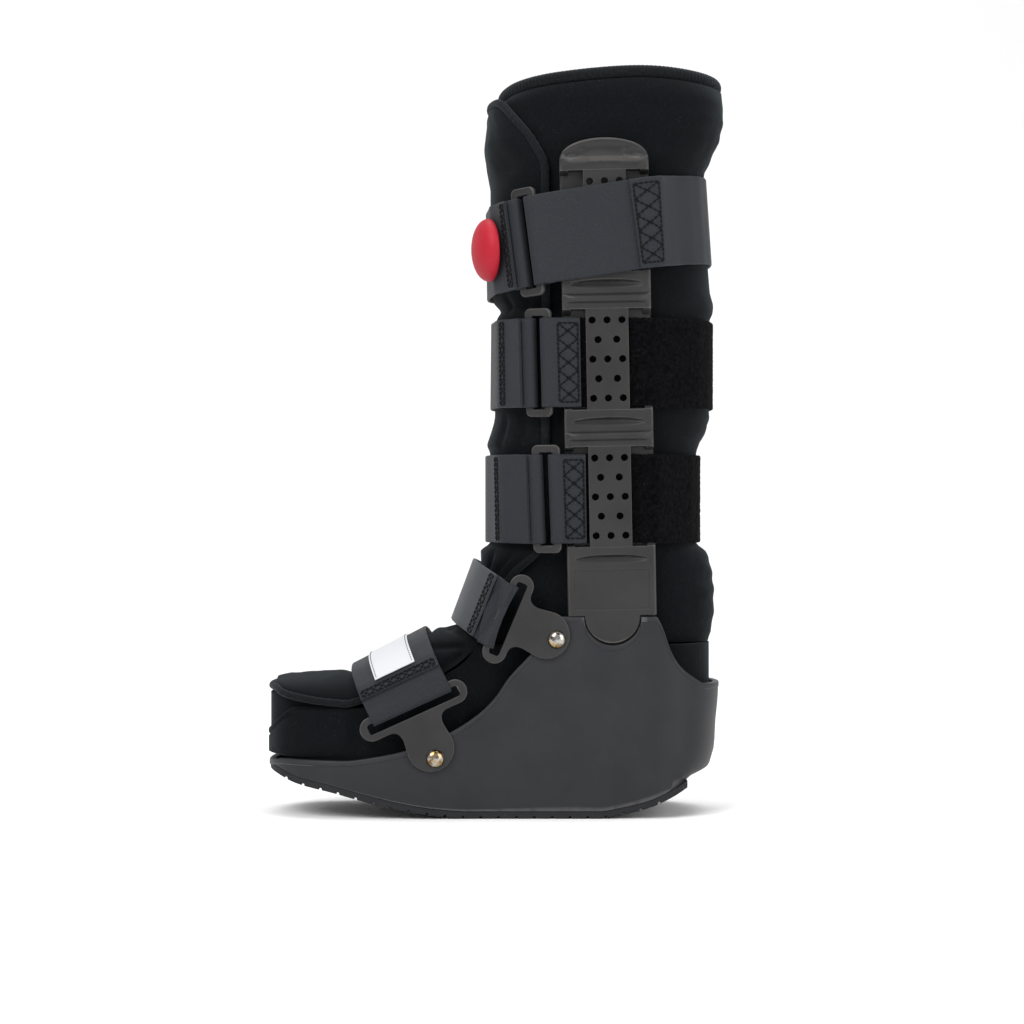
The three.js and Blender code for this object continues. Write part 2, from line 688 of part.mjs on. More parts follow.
function legLoop(z, overStrut) {
  const points = [];
  for (let i = 0; i < 60; i++) {
    points.push(legPoint(z, (i / 60) * 2 * Math.PI, GAP));
  }
  points.push(...flapArc(z, FLAP_LIFT + FLAP_THICKNESS + 2 * GAP, 31, FLAP_EDGE_TAPER));
  const beside = flapTurn(z, BINDING_DIAMETER + 3 * GAP);
  for (const sign of [-1, 1]) {
    points.push(legPoint(z, Math.PI + sign * beside, FLAP_LIFT + BINDING_DIAMETER + 2.5 * GAP));
  }
  const thickness = overStrut ? STRUT_THICKNESS + RIDGE_RISE : STRUT_PLATE;
  const reach = STRUT_WIDTH / 2 + 4 * GAP;
  for (const sign of [-1, 1]) {
    for (const end of [-1, 1]) {
      const out = strutBack(z) + thickness + 1.2 * GAP;
      points.push(new THREE.Vector3(strutAlong(z) + end * reach, sign * out, z));
    }
  }
  return tautLoop(points);
}

// Where a ray from the loop's middle meets it, and the way out there
function castOut(loop, origin, angle) {
  const ray = new THREE.Vector2(Math.cos(angle), Math.sin(angle));
  for (let i = 0; i < loop.length; i++) {
    const a = loop[i];
    const b = loop[(i + 1) % loop.length];
    const side = new THREE.Vector2(b.x - a.x, b.y - a.y);
    const from = new THREE.Vector2(a.x - origin, a.y);
    const base = ray.x * side.y - ray.y * side.x;
    const distance = (from.x * side.y - from.y * side.x) / base;
    const share = (from.x * ray.y - from.y * ray.x) / base;
    if (distance > 0 && share >= 0 && share <= 1) {
      return new THREE.Vector2(origin + ray.x * distance, ray.y * distance);
    }
  }
  throw new Error("the ray misses the loop");
}

// A leg strap's course: lower and upper edge at an angle around the leg, on the surface that it lies on
class StrapCourse {
  constructor({ up: level, slope, ring, overStrut }) {
    this.ring = along(ring);
    this.level = up(level);
    this.slope = slope;
    this.overStrut = overStrut;
    this.loops = new Map();
    this.origin = along(0.75);
    this.measure();
  }

  edge(angle, offset) {
    const half = (WEBBING_WIDTH / 2) * Math.sqrt(1 + this.slope ** 2);
    let z = this.level + offset * half;
    let flat = null;
    for (let i = 0; i < 3; i++) {
      const height = Math.round(z);
      if (!this.loops.has(height)) {
        this.loops.set(height, legLoop(height, this.overStrut));
      }
      flat = castOut(this.loops.get(height), this.origin, angle);
      z = this.level + this.slope * (flat.x - this.ring) + offset * half;
    }
    return new THREE.Vector3(flat.x, flat.y, z);
  }

  // Length along the course from the ring, growing towards the back
  measure() {
    this.steps = [];
    const middle = (angle) => this.edge(angle, 0);
    let length = 0;
    let zero = 0;
    let before = middle(0);
    for (let degree = 0; degree <= 360; degree++) {
      const angle = (degree * Math.PI) / 180;
      const point = middle(angle);
      length += point.distanceTo(before);
      before = point;
      if (degree > 180 && degree < 270 && point.x < this.ring) {
        zero = length;
      }
      this.steps.push([length, angle]);
    }
    this.total = length;
    this.zero = zero;
  }

  angleAt(s) {
    const wanted = (((s + this.zero) % this.total) + this.total) % this.total;
    return readTable(this.steps, wanted, 1);
  }

  // Station at length s, square across the webbing, its middle surface lifted by lift
  station(s, lift) {
    const run = this.edge(this.angleAt(s + 4), 0).sub(this.edge(this.angleAt(s - 4), 0)).normalize();
    const skew = (WEBBING_WIDTH / 2) * this.slope * run.x;
    const low = this.edge(this.angleAt(s + skew), -1);
    const high = this.edge(this.angleAt(s - skew), 1);
    const out = run.cross(high.clone().sub(low)).normalize();
    return { low: low.addScaledVector(out, lift), high: high.addScaledVector(out, lift), out };
  }

  // Station in the flat of the ring, which lies square to the course at length 0
  ringStation(s, lift) {
    const { low, high, out } = this.station(0, 0);
    const rise = high.clone().sub(low).normalize();
    const run = rise.clone().cross(out).normalize();
    for (const point of [low, high]) {
      point.addScaledVector(run, s).addScaledVector(out, lift);
    }
    return { low, high, out, run, rise };
  }

  // Length along the course from the ring to a place along the boot: on the near side towards the back,
  // or round the front to the far side
  lengthTo(x, side = "near") {
    const step = side === "near" ? 0.5 : -0.5;
    let s = side === "near" ? 0 : -this.total / 5;
    while (this.edge(this.angleAt(s), 0).x < x && Math.abs(s) < this.total) {
      s += step;
    }
    return s;
  }

  // The lengths that every piece of this strap has a station at, so that its layers run side by side
  setGrid(ends) {
    const edges = [-1, 1].map((end) => strutAlong(this.level) + end * (STRUT_WIDTH / 2 + 3 * GAP));
    const near = edges.map((x) => this.lengthTo(x));
    const far = edges.map((x) => this.lengthTo(x, "far"));
    const marks = [...ends, ...near, ...far];
    const all = marks.flatMap((s) => [s - this.total, s, s + this.total]);
    const spacing = this.total / 36;
    for (let i = -36; i <= 36; i++) {
      if (all.every((s) => Math.abs(s - i * spacing) > spacing / 2.2)) {
        all.push(i * spacing);
      }
    }
    this.grid = all.sort((a, b) => a - b);
  }
}

// Webbing through a row of stations, each with a low and a high point on its middle surface
function webbing(stations, thickness = WEBBING_THICKNESS) {
  const rings = stations.map((station, i) => {
    const before = stations[Math.max(i - 1, 0)];
    const after = stations[Math.min(i + 1, stations.length - 1)];
    const rise = station.high.clone().sub(station.low).normalize();
    const middle = (s) => s.low.clone().add(s.high).multiplyScalar(0.5);
    const first = middle(station).sub(middle(before));
    const second = middle(after).sub(middle(station));
    const run = first.normalize().add(second.normalize()).normalize();
    const bend = Math.max(0.6, Math.sqrt((1 + first.dot(second)) / 2));
    const inside = i > 0 && i < stations.length - 1;
    const half = rise.clone().cross(run).setLength(thickness / 2 / (inside ? bend : 1));
    return [
      station.low.clone().sub(half),
      station.low.clone().add(half),
      station.high.clone().add(half),
      station.high.clone().sub(half),
    ];
  });
  return loft(rings);
}

const LAYER = WEBBING_THICKNESS + GAP;
const FIRST_LAYER = GAP + WEBBING_THICKNESS / 2;
const RING_LIFT = LAYER + GAP + RING_THICKNESS / 2;
const FOLD_REACH = RING_WIDTH / 2 - RING_BAR;
const OVER_BAR = RING_THICKNESS / 2 + GAP + WEBBING_THICKNESS / 2;

// Stations along rows of length and lift, always in order of growing length, so that the layers of a strap
// are split into triangles the same way and lie side by side
function runAlong(course, rows) {
  const ordered = [...rows].sort((a, b) => a[0] - b[0]);
  const [low, high] = [ordered[0][0], ordered[ordered.length - 1][0]];
  const inside = course.grid.filter((s) => s > low + 0.5 && s < high - 0.5);
  return [low, ...inside, high].map((s) => course.station(s, readTable(ordered, s, 1)));
}

// A fold round one bar of the ring: a long outer layer and a short inner one. Side is -1 towards the front
function foldedPiece(course, side, outerRows) {
  const nose = FOLD_REACH - GAP - WEBBING_THICKNESS / 2;
  const at = (s, lift) => course.ringStation(side * s, RING_LIFT + lift);
  const outerRun = runAlong(course, outerRows.map(([s, lift]) => [side * s, lift]));
  const innerEnd = RING_WIDTH / 2 + FOLD_LAP;
  const fold = [
    at(RING_WIDTH / 2, OVER_BAR),
    at(nose + 0.9, OVER_BAR),
    at(nose, OVER_BAR - 0.9),
    at(nose, 0.9 - OVER_BAR),
    at(nose + 0.9, -OVER_BAR),
    at(RING_WIDTH / 2 - 1, -OVER_BAR),
    course.station(side * innerEnd, FIRST_LAYER),
  ];
  return side < 0 ? [...outerRun, ...fold] : [...fold.reverse(), ...outerRun];
}

function strapPieces(strap) {
  const course = new StrapCourse(strap);
  const edgeOfRing = RING_WIDTH / 2;
  const overRing = RING_LIFT + OVER_BAR;
  const loopEnd = edgeOfRing + LOOP_LAP;
  const tabEnd = course.lengthTo(along(strap.tabEnd));
  const innerEnd = edgeOfRing + FOLD_LAP;
  const second = FIRST_LAYER + LAYER;
  const loopRows = [[loopEnd, second], [edgeOfRing + 8, second], [edgeOfRing + 2.5, overRing - 1.2]];
  const backGap = innerEnd + 1.2;
  const tabRows = strap.overStrut
    ? [[tabEnd, FIRST_LAYER], [innerEnd + 6, FIRST_LAYER + 0.4], [edgeOfRing + 2.5, overRing - 1.2]]
    : [[tabEnd, second], [innerEnd + 3, second], [edgeOfRing + 2.5, overRing - 1.2]];
  const backRows = strap.overStrut
    ? [[tabEnd - TAB_LAP, second], [tabEnd + 1, second], [tabEnd + STEP_DOWN, FIRST_LAYER]]
    : [[backGap, FIRST_LAYER], [backGap + STEP_DOWN, FIRST_LAYER]];
  const seam = -edgeOfRing - 0.5;
  const frontEnd = course.lengthTo(along(strap.frontEnd), "far");
  const under = course.lengthTo(along(strap.ring) - 4, "far");
  const backEnd = under + course.total;
  const lap = [frontEnd, under, under + SEAM_LAP];
  course.setGrid([0, tabEnd, tabEnd - TAB_LAP, loopEnd, -loopEnd, seam, ...lap]);
  const frontRows = [
    [seam, overRing + LAYER + 0.3], [seam - 8, second + LAYER], [-loopEnd - 1, second + LAYER],
    [-loopEnd - STEP_DOWN, FIRST_LAYER], [under + SEAM_LAP, FIRST_LAYER], [under + 4, second],
    [frontEnd, second],
  ];
  return {
    course,
    back: webbing(runAlong(course, [...backRows, [backEnd, FIRST_LAYER]])),
    tab: webbing(foldedPiece(course, 1, tabRows)),
    loop: webbing(foldedPiece(course, -1, loopRows)),
    front: webbing(runAlong(course, frontRows)),
    frontRows,
  };
}

function roundedOutline(target, halfWidth, halfHeight, radius) {
  const [w, h] = [halfWidth - radius, halfHeight - radius];
  target.absarc(w, h, radius, 0, Math.PI / 2, false);
  target.absarc(-w, h, radius, Math.PI / 2, Math.PI, false);
  target.absarc(-w, -h, radius, Math.PI, 1.5 * Math.PI, false);
  target.absarc(w, -h, radius, 1.5 * Math.PI, 2 * Math.PI, false);
  target.closePath();
  return target;
}

function ringMesh(name, course) {
  const shape = roundedOutline(new THREE.Shape(), RING_WIDTH / 2, RING_LENGTH / 2, 3.5);
  const slotHalf = WEBBING_WIDTH / 2 + 1.1;
  shape.holes.push(roundedOutline(new THREE.Path(), RING_WIDTH / 2 - RING_BAR, slotHalf, 1));
  const options = { depth: RING_THICKNESS, bevelEnabled: false, curveSegments: 2 };
  const geometry = new THREE.ExtrudeGeometry(shape, options).translate(0, 0, -RING_THICKNESS / 2);
  const mesh = new THREE.Mesh(geometry, MATERIALS.strut);
  const { low, high, out, run, rise } = course.ringStation(0, RING_LIFT);
  mesh.name = name;
  mesh.setRotationFromMatrix(new THREE.Matrix4().makeBasis(run, rise, out));
  mesh.position.copy(low.add(high).multiplyScalar(0.5));
  return mesh;
}

// Slotted plate, drawn with its bar along x and its rivet along +y from the bar's middle
function plateGeometry(barLength) {
  const round = PLATE_BAR_RADIUS;
  const bar = roundedOutline(new THREE.Shape(), barLength / 2 + round, round, round);
  const slotHalf = PLATE_BAR_RADIUS - PLATE_RAIL;
  const slot = roundedOutline(new THREE.Path(), barLength / 2 + PLATE_RAIL / 2, slotHalf, slotHalf / 3);
  bar.holes.push(slot);
  const waist = PLATE_LOBE_RADIUS * 0.91;
  const root = PLATE_BAR_RADIUS - 0.5;
  const neck = new THREE.Shape();
  neck.moveTo(-waist - PLATE_NECK_FLARE, root);
  neck.quadraticCurveTo(-waist, root + 0.6, -waist, root + PLATE_NECK_RISE);
  neck.lineTo(-PLATE_LOBE_RADIUS, PLATE_LOBE_REACH);
  neck.absarc(0, PLATE_LOBE_REACH, PLATE_LOBE_RADIUS, Math.PI, 0, true);
  neck.lineTo(waist, root + PLATE_NECK_RISE);
  neck.quadraticCurveTo(waist, root + 0.6, waist + PLATE_NECK_FLARE, root);
  neck.lineTo(waist + PLATE_NECK_FLARE, root - 1);
  neck.lineTo(-waist - PLATE_NECK_FLARE, root - 1);
  const options = { depth: PLATE_THICKNESS, bevelEnabled: false, curveSegments: 2 };
  const barSolid = toSolid(new THREE.ExtrudeGeometry(bar, options));
  const neckSolid = toSolid(new THREE.ExtrudeGeometry(neck, { ...options, curveSegments: 5 }));
  const boreRadius = RIVET_SHANK_RADIUS + GAP;
  const bore = new THREE.CylinderGeometry(boreRadius, boreRadius, BORE_LENGTH, 8);
  const boreSolid = toSolid(bore.rotateX(Math.PI / 2).translate(0, PLATE_RIVET_REACH, 0));
  return fromSolid(barSolid.add(neckSolid).subtract(boreSolid));
}

// Foot straps: plate bar centre, bar slope, bar length, webbing width, crest of the band and its slope, and
// the share of the course below the seam where the band is sewn to its loop
const BAND_STEPS = 16;
const flareAngle = Math.atan2(BALL_HALF_WIDTH - SHELL_HALF_WIDTH, along(FLARE_START) - along(BALL));
const FOOT_STRAPS = [
  {
    name: "toe", bar: [0.3324, 0.1447], slope: 24.2, barLength: TOE_PLATE_BAR, width: WEBBING_WIDTH - 2,
    crest: [0.277, 0.2178], crestSlope: 27.3, seam: 0.085, yaw: flareAngle,
  },
  {
    name: "ankle", bar: [0.5346, 0.2654], slope: 67.2, barLength: ANKLE_PLATE_BAR, width: ANKLE_WEBBING_WIDTH,
    crest: [0.4505, 0.2965], crestSlope: 69.5, seam: 0.1, yaw: 0,
  },
];

// The plate's frame on one side: run along the bar, drop towards the rivet, out from the wall
function plateFrame(strap, sign) {
  const slope = THREE.MathUtils.degToRad(strap.slope);
  const yaw = new THREE.Matrix4().makeRotationZ(-sign * strap.yaw);
  const run = new THREE.Vector3(Math.cos(slope), 0, Math.sin(slope)).applyMatrix4(yaw);
  const drop = new THREE.Vector3(Math.sin(slope), 0, -Math.cos(slope)).applyMatrix4(yaw);
  const out = new THREE.Vector3(0, sign, 0).applyMatrix4(yaw);
  const [x, z] = [along(strap.bar[0]), up(strap.bar[1])];
  const half = SHELL_HALF_WIDTH + Math.max(0, along(FLARE_START) - x) * Math.tan(strap.yaw);
  const origin = new THREE.Vector3(x, sign * half, z).addScaledVector(out, GAP);
  return { run, drop, out, origin };
}

function plateMesh(strap, side) {
  const { drop, out, origin } = plateFrame(strap, side.sign);
  const geometry = plateGeometry(strap.barLength);
  const mesh = new THREE.Mesh(geometry, MATERIALS.strut);
  const across = drop.clone().cross(out);
  mesh.setRotationFromMatrix(new THREE.Matrix4().makeBasis(across, drop, out));
  mesh.name = `${strap.name}_plate_${side.name}`;
  mesh.position.copy(origin);
  return mesh;
}

function rivetFrame(strap, side) {
  const { drop, out, origin } = plateFrame(strap, side.sign);
  const at = origin.clone().addScaledVector(drop, PLATE_RIVET_REACH);
  return { name: `${strap.name}_rivet_${side.name}`, out, at };
}

function rivetBore({ at, out }) {
  const boreRadius = RIVET_SHANK_RADIUS + GAP;
  const bore = new THREE.CylinderGeometry(boreRadius, boreRadius, BORE_LENGTH, 8);
  bore.applyQuaternion(new THREE.Quaternion().setFromUnitVectors(new THREE.Vector3(0, 1, 0), out));
  return bore.translate(at.x, at.y, at.z);
}

// Dome head outside the plate, shank through plate and wall, thin tail inside
function rivetMesh({ name, at, out }) {
  const tailIn = -SHELL_WALL - 2.5 * GAP;
  const seat = PLATE_THICKNESS + GAP;
  const profile = [new THREE.Vector2(0, tailIn - RIVET_TAIL)];
  profile.push(new THREE.Vector2(RIVET_TAIL_RADIUS, tailIn - RIVET_TAIL));
  profile.push(new THREE.Vector2(RIVET_TAIL_RADIUS, tailIn));
  profile.push(new THREE.Vector2(RIVET_SHANK_RADIUS, tailIn));
  profile.push(new THREE.Vector2(RIVET_SHANK_RADIUS, seat));
  for (let i = 0; i <= 4; i++) {
    const t = (i / 4) * (Math.PI / 2);
    const radius = i === 4 ? 0 : RIVET_HEAD_RADIUS * Math.cos(t);
    profile.push(new THREE.Vector2(radius, seat + RIVET_HEAD_HEIGHT * Math.sin(t)));
  }
  const mesh = new THREE.Mesh(new THREE.LatheGeometry(profile, 8), MATERIALS.rivet);
  mesh.name = name;
  mesh.quaternion.setFromUnitVectors(new THREE.Vector3(0, 1, 0), out);
  mesh.position.copy(at);
  return mesh;
}

// A foot strap's course over the flap, taut between the outer rails of its two plates and the points that it
// passes over
function footCourse(strap, cover) {
  const rail = PLATE_BAR_RADIUS - PLATE_RAIL / 2;
  const frames = SIDES.map((side) => plateFrame(strap, side.sign));
  const ends = frames.map(({ drop, origin }) => origin.clone().addScaledVector(drop, -rail));
  const crest = place(strap.crest);
  const middle = ends[0].clone().add(ends[1]).multiplyScalar(0.5);
  const rise = new THREE.Vector3(crest.x - middle.x, 0, crest.y - middle.z).normalize();
  const slope = THREE.MathUtils.degToRad(strap.crestSlope);
  const base = rise.x * Math.sin(slope) - rise.z * Math.cos(slope);
  const half = Math.abs(ends[0].y) + PLATE_THICKNESS + GAP + WEBBING_THICKNESS / 2;
  const points = [new THREE.Vector2(-half, 0), new THREE.Vector2(half, 0)];
  for (const point of cover) {
    const from = point.clone().sub(middle);
    const height = (from.x * Math.sin(slope) - from.z * Math.cos(slope)) / base;
    const across = (rise.x * from.z - rise.z * from.x) / base;
    if (Math.abs(across) < strap.width / 2 + 2) {
      const flat = new THREE.Vector2(point.y, height);
      points.push(flat.clone().setLength(flat.length() + FIRST_LAYER + GAP));
    }
  }
  const loop = tautLoop(points.filter((p) => p.y >= 0));
  const start = loop.findIndex((p) => p.x > half - 1e-6);
  const chain = [...loop.slice(start), ...loop.slice(0, start)];
  const path = new THREE.CurvePath();
  for (let i = 1; i < chain.length; i++) {
    path.add(new THREE.LineCurve(chain[i - 1], chain[i]));
  }
  return { path, length: path.getLength(), middle, rise, strap };
}

// Station on a foot strap: s from the near rail up and over, lift out from the course
function footStation(course, s, lift) {
  const { path, length, middle, rise, strap } = course;
  const t = THREE.MathUtils.clamp(1 - s / length, 0, 1);
  const flat = path.getPointAt(t);
  const ahead = path.getPointAt(Math.max(t - 0.01, 0));
  const run = ahead.sub(path.getPointAt(Math.min(t + 0.01, 1)));
  const normal = new THREE.Vector2(-run.y, run.x).normalize();
  const [y, h] = [flat.x + normal.x * lift, flat.y + normal.y * lift];
  const share = Math.sin(THREE.MathUtils.clamp(s / length, 0, 1) * Math.PI);
  const slope = THREE.MathUtils.degToRad(THREE.MathUtils.lerp(strap.slope, strap.crestSlope, share));
  const wide = new THREE.Vector3(Math.cos(slope), 0, Math.sin(slope)).multiplyScalar(strap.width / 2);
  const centre = middle.clone().addScaledVector(rise, h);
  centre.y = y;
  return { low: centre.clone().sub(wide), high: centre.clone().add(wide) };
}

// Outer points of the flap and its rolled edge that a foot strap may pass over
function flapCover() {
  const cover = [];
  const rows = FOOT_FLAP_STATIONS;
  for (let i = 0; i < 8 * (rows.length - 1); i++) {
    const [row, next] = [rows[Math.floor(i / 8)], rows[Math.floor(i / 8) + 1]];
    const station = row.map((value, k) => THREE.MathUtils.lerp(value, next[k], (i % 8) / 8));
    for (let k = 0; k <= 24; k++) {
      cover.push(archPoint(station, -Math.cos((k / 24) * Math.PI), 0));
    }
    const beside = archPoint(station, 1, 0);
    const edge = BINDING_DIAMETER + 3 * GAP;
    cover.push(beside.clone().add({ x: 0, y: edge, z: edge / 2 }));
    cover.push(beside.clone().setY(-beside.y).add({ x: 0, y: -edge, z: edge / 2 }));
  }
  for (let z = up(0.2575); z < up(0.4); z += 3) {
    cover.push(...flapArc(z, FLAP_LIFT + FLAP_THICKNESS, 21));
  }
  return cover;
}

function footBand(course, from, to, lift, steps) {
  const stations = [];
  for (let i = 0; i <= steps; i++) {
    stations.push(footStation(course, THREE.MathUtils.lerp(from, to, i / steps), lift));
  }
  return stations;
}

// A loop folded through the plate's slot: outside over the rail, through the slot, up behind the rail
function footLoop(course, strap, side) {
  const { run, drop, out, origin } = plateFrame(strap, side.sign);
  const over = PLATE_THICKNESS + GAP + WEBBING_THICKNESS / 2;
  const behind = -GAP - WEBBING_THICKNESS / 2;
  const nose = -(PLATE_BAR_RADIUS - PLATE_RAIL) + GAP + WEBBING_THICKNESS / 2;
  const wide = run.clone().multiplyScalar(strap.width / 2);
  const at = (reach, lift) => {
    const centre = origin.clone().addScaledVector(drop, reach).addScaledVector(out, lift);
    return { low: centre.clone().sub(wide), high: centre.clone().add(wide) };
  };
  const seam = course.length * strap.seam;
  const lap = (course.length - 2 * seam) / BAND_STEPS;
  const outer = [seam + lap, seam, 9].map((s) => footStation(course, s, 0));
  const stations = side.sign < 0 ? outer : outer.map(({ low, high }) => {
    return { low: low.setY(-low.y), high: high.setY(-high.y) };
  });
  return [
    ...stations,
    at(-PLATE_BAR_RADIUS - 1, over + 0.3),
    at(nose - 1, over + 0.1),
    at(nose, over - 0.9),
    at(nose, behind + 0.9),
    at(nose - 1, behind),
    at(-PLATE_BAR_RADIUS - 4, behind),
  ];
}

function pumpGeometry({ course, frontRows }) {
  const rows = [...frontRows].sort((a, b) => a[0] - b[0]);
  const profile = [new THREE.Vector2(0, -PUMP_HEIGHT), new THREE.Vector2(PUMP_RADIUS, -PUMP_HEIGHT)];
  const steps = 6;
  for (let i = 0; i <= steps; i++) {
    const t = (i / steps) * (Math.PI / 2);
    const radius = i === steps ? 0 : PUMP_RADIUS * Math.cos(t);
    profile.push(new THREE.Vector2(radius, PUMP_HEIGHT * Math.sin(t)));
  }
  const reach = -RING_WIDTH / 2 - PUMP_RADIUS - 4;
  const { low, high, out } = course.station(reach, 0);
  const seat = low.add(high).multiplyScalar(0.5).addScaledVector(out, FIRST_LAYER);
  const dome = new THREE.LatheGeometry(profile, 14);
  dome.applyQuaternion(new THREE.Quaternion().setFromUnitVectors(new THREE.Vector3(0, 1, 0), out));
  dome.translate(seat.x, seat.y, seat.z);
  const under = course.grid.filter((s) => s < 0 && s > reach - 2 * PUMP_RADIUS);
  const core = under.map((s) => {
    return course.station(s, readTable(rows, s, 1) + WEBBING_THICKNESS / 2 + GAP - PUMP_HEIGHT);
  });
  return fromSolid(toSolid(dome).subtract(toSolid(webbing(core, 2 * PUMP_HEIGHT))));
}

function labelGeometry(course) {
  const lift = LAYER + WEBBING_THICKNESS / 2 + GAP + LABEL_THICKNESS / 2;
  const start = course.length * course.strap.seam + FOLD_LAP;
  const stations = footBand(course, start, start + LABEL_LENGTH, lift, 12);
  const share = LABEL_WIDTH / course.strap.width;
  const narrow = stations.map(({ low, high }) => {
    const centre = low.clone().add(high).multiplyScalar(0.5);
    return { low: low.lerp(centre, 1 - share), high: high.lerp(centre, 1 - share) };
  });
  return webbing(narrow, LABEL_THICKNESS);
}

// The boot
const boot = new THREE.Group();

function addPiece(name, geometry, material) {
  const mesh = new THREE.Mesh(geometry, material);
  mesh.name = name;
  boot.add(mesh);
  return mesh;
}

const rivets = FOOT_STRAPS.flatMap((strap) => SIDES.map((side) => rivetFrame(strap, side)));
addPiece("shell", shellGeometry(rivets), MATERIALS.shell);
addPiece("outsole", outsoleGeometry(), MATERIALS.rubber);
for (const side of SIDES) {
  placeStrut(addPiece(`strut_${side.name}`, strutGeometry(), MATERIALS.strut), side.sign);
}
addPiece("liner_leg", linerLegGeometry(), MATERIALS.liner);
addPiece("liner_foot", linerFootGeometry(), MATERIALS.liner);
addPiece("leg_flap", legFlapGeometry(), MATERIALS.liner);
addPiece("foot_flap", footFlapGeometry(), MATERIALS.liner);
addPiece("rim_binding", rimBindingGeometry(), MATERIALS.binding);
addPiece("leg_flap_binding", legFlapBindingGeometry(), MATERIALS.binding);
addPiece("foot_flap_binding", footFlapBindingGeometry(), MATERIALS.binding);

for (const strap of LEG_STRAPS) {
  const pieces = strapPieces(strap);
  addPiece(`${strap.name}_strap_back`, pieces.back, strap.overStrut ? MATERIALS.webbing : MATERIALS.loop);
  addPiece(`${strap.name}_strap_tab`, pieces.tab, MATERIALS.webbing);
  addPiece(`${strap.name}_strap_loop`, pieces.loop, MATERIALS.webbing);
  addPiece(`${strap.name}_strap_front`, pieces.front, MATERIALS.webbing);
  boot.add(ringMesh(`${strap.name}_strap_ring`, pieces.course));
  if (strap.overStrut) {
    addPiece("pump_bulb", pumpGeometry(pieces), MATERIALS.pump);
  }
}

const cover = flapCover();
for (const strap of FOOT_STRAPS) {
  const course = footCourse(strap, cover);
  const seam = course.length * strap.seam;
  const band = webbing(footBand(course, seam, course.length - seam, LAYER, BAND_STEPS));
  addPiece(`${strap.name}_strap_band`, band, MATERIALS.webbing);
  if (strap.name === "toe") {
    addPiece("toe_label", labelGeometry(course), MATERIALS.label);
  }
  for (const side of SIDES) {
    boot.add(plateMesh(strap, side));
    addPiece(`${strap.name}_loop_${side.name}`, webbing(footLoop(course, strap, side)), MATERIALS.webbing);
  }
}
for (const rivet of rivets) {
  boot.add(rivetMesh(rivet));
}

// The origin is on the floor under the middle of the boot's box
const box = new THREE.Box3().setFromObject(boot, true);
const middle = box.getCenter(new THREE.Vector3());
for (const piece of boot.children) {
  piece.position.sub(new THREE.Vector3(middle.x, middle.y, box.min.z));
}

export default boot;
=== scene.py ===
# %% [markdown]
# # A tall walking boot, dressed for the camera
#
# The boot is a stiff plastic shell with two side uprights, a black padded liner inside them, webbing straps
# that hold the leg, and a rocker sole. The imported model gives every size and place. Hard pieces are built
# again here with round edges, soft pieces get their folds and stitches, and each surface gets its own
# material. The toe points to -X, the heel to +X, and the side with the rings, called near, faces -Y.

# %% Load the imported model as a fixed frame
import math

import bmesh
import bpy
from mathutils import Matrix, Vector, noise
from mathutils.geometry import delaunay_2d_cdt


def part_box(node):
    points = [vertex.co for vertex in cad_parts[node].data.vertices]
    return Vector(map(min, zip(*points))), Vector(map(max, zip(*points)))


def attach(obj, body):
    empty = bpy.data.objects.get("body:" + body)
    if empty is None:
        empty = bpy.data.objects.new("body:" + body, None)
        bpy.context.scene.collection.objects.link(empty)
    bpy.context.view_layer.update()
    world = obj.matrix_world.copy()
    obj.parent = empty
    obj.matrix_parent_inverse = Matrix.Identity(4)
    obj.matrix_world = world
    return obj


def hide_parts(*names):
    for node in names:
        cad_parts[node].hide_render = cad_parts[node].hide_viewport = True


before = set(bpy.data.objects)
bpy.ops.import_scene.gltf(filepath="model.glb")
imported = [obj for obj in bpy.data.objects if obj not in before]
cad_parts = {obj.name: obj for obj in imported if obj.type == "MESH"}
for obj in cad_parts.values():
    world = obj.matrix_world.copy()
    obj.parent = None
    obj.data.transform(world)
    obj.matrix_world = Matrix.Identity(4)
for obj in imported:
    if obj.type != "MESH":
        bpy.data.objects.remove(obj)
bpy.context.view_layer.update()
MM = 0.001

# %% [markdown]
# ## Camera
#
# The photo is taken from the side with a long lens, level with the middle of the boot. A camera that looks
# straight along +Y from 1.6 m gives the same view, and 95 mm on a 36 mm sensor gives the same framing.

# %% Camera at the photo's place
CAMERA_DISTANCE = 1.6
CAMERA_ALONG = 0.0113
CAMERA_HEIGHT = 0.1755
LENS = 95.3


def add_camera():
    data = bpy.data.cameras.new("side_camera")
    data.lens = LENS
    data.sensor_width = 36
    camera = bpy.data.objects.new("side_camera", data)
    camera.location = (CAMERA_ALONG, -CAMERA_DISTANCE, CAMERA_HEIGHT)
    camera.rotation_euler = (math.radians(90), 0, 0)
    bpy.context.scene.collection.objects.link(camera)
    bpy.context.scene.camera = camera
    return camera


print("camera:", add_camera().location[:])

# %% [markdown]
# ## Sizes, shares and smooth tables
#
# The outlines are kept as short tables of shares of the boot's length and height. A table is read through a
# cubic that never overshoots its rows, so a few rows give a soft line with flat places where straps press.

# %% Driving sizes in millimetres, and how to read a table
BOOT_LENGTH = 267.0
BOOT_HEIGHT = 431.0
TOE_TIP = 0.0105
MIDDLE_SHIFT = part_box("shell")[0].x / MM - (TOE_TIP - 0.5) * BOOT_LENGTH


def along(share):
    return (share - 0.5) * BOOT_LENGTH + MIDDLE_SHIFT


def up(share):
    return share * BOOT_HEIGHT


def blend_steps(edge, end, value):
    t = min(max((value - edge) / (end - edge), 0.0), 1.0)
    return t * t * (3 - 2 * t)


def row_after(rows, key):
    """The key kept inside a table's range, and the number of the row that ends its step."""
    key = min(max(key, rows[0][0]), rows[-1][0])
    return key, max(1, next(k for k, row in enumerate(rows) if row[0] >= key))


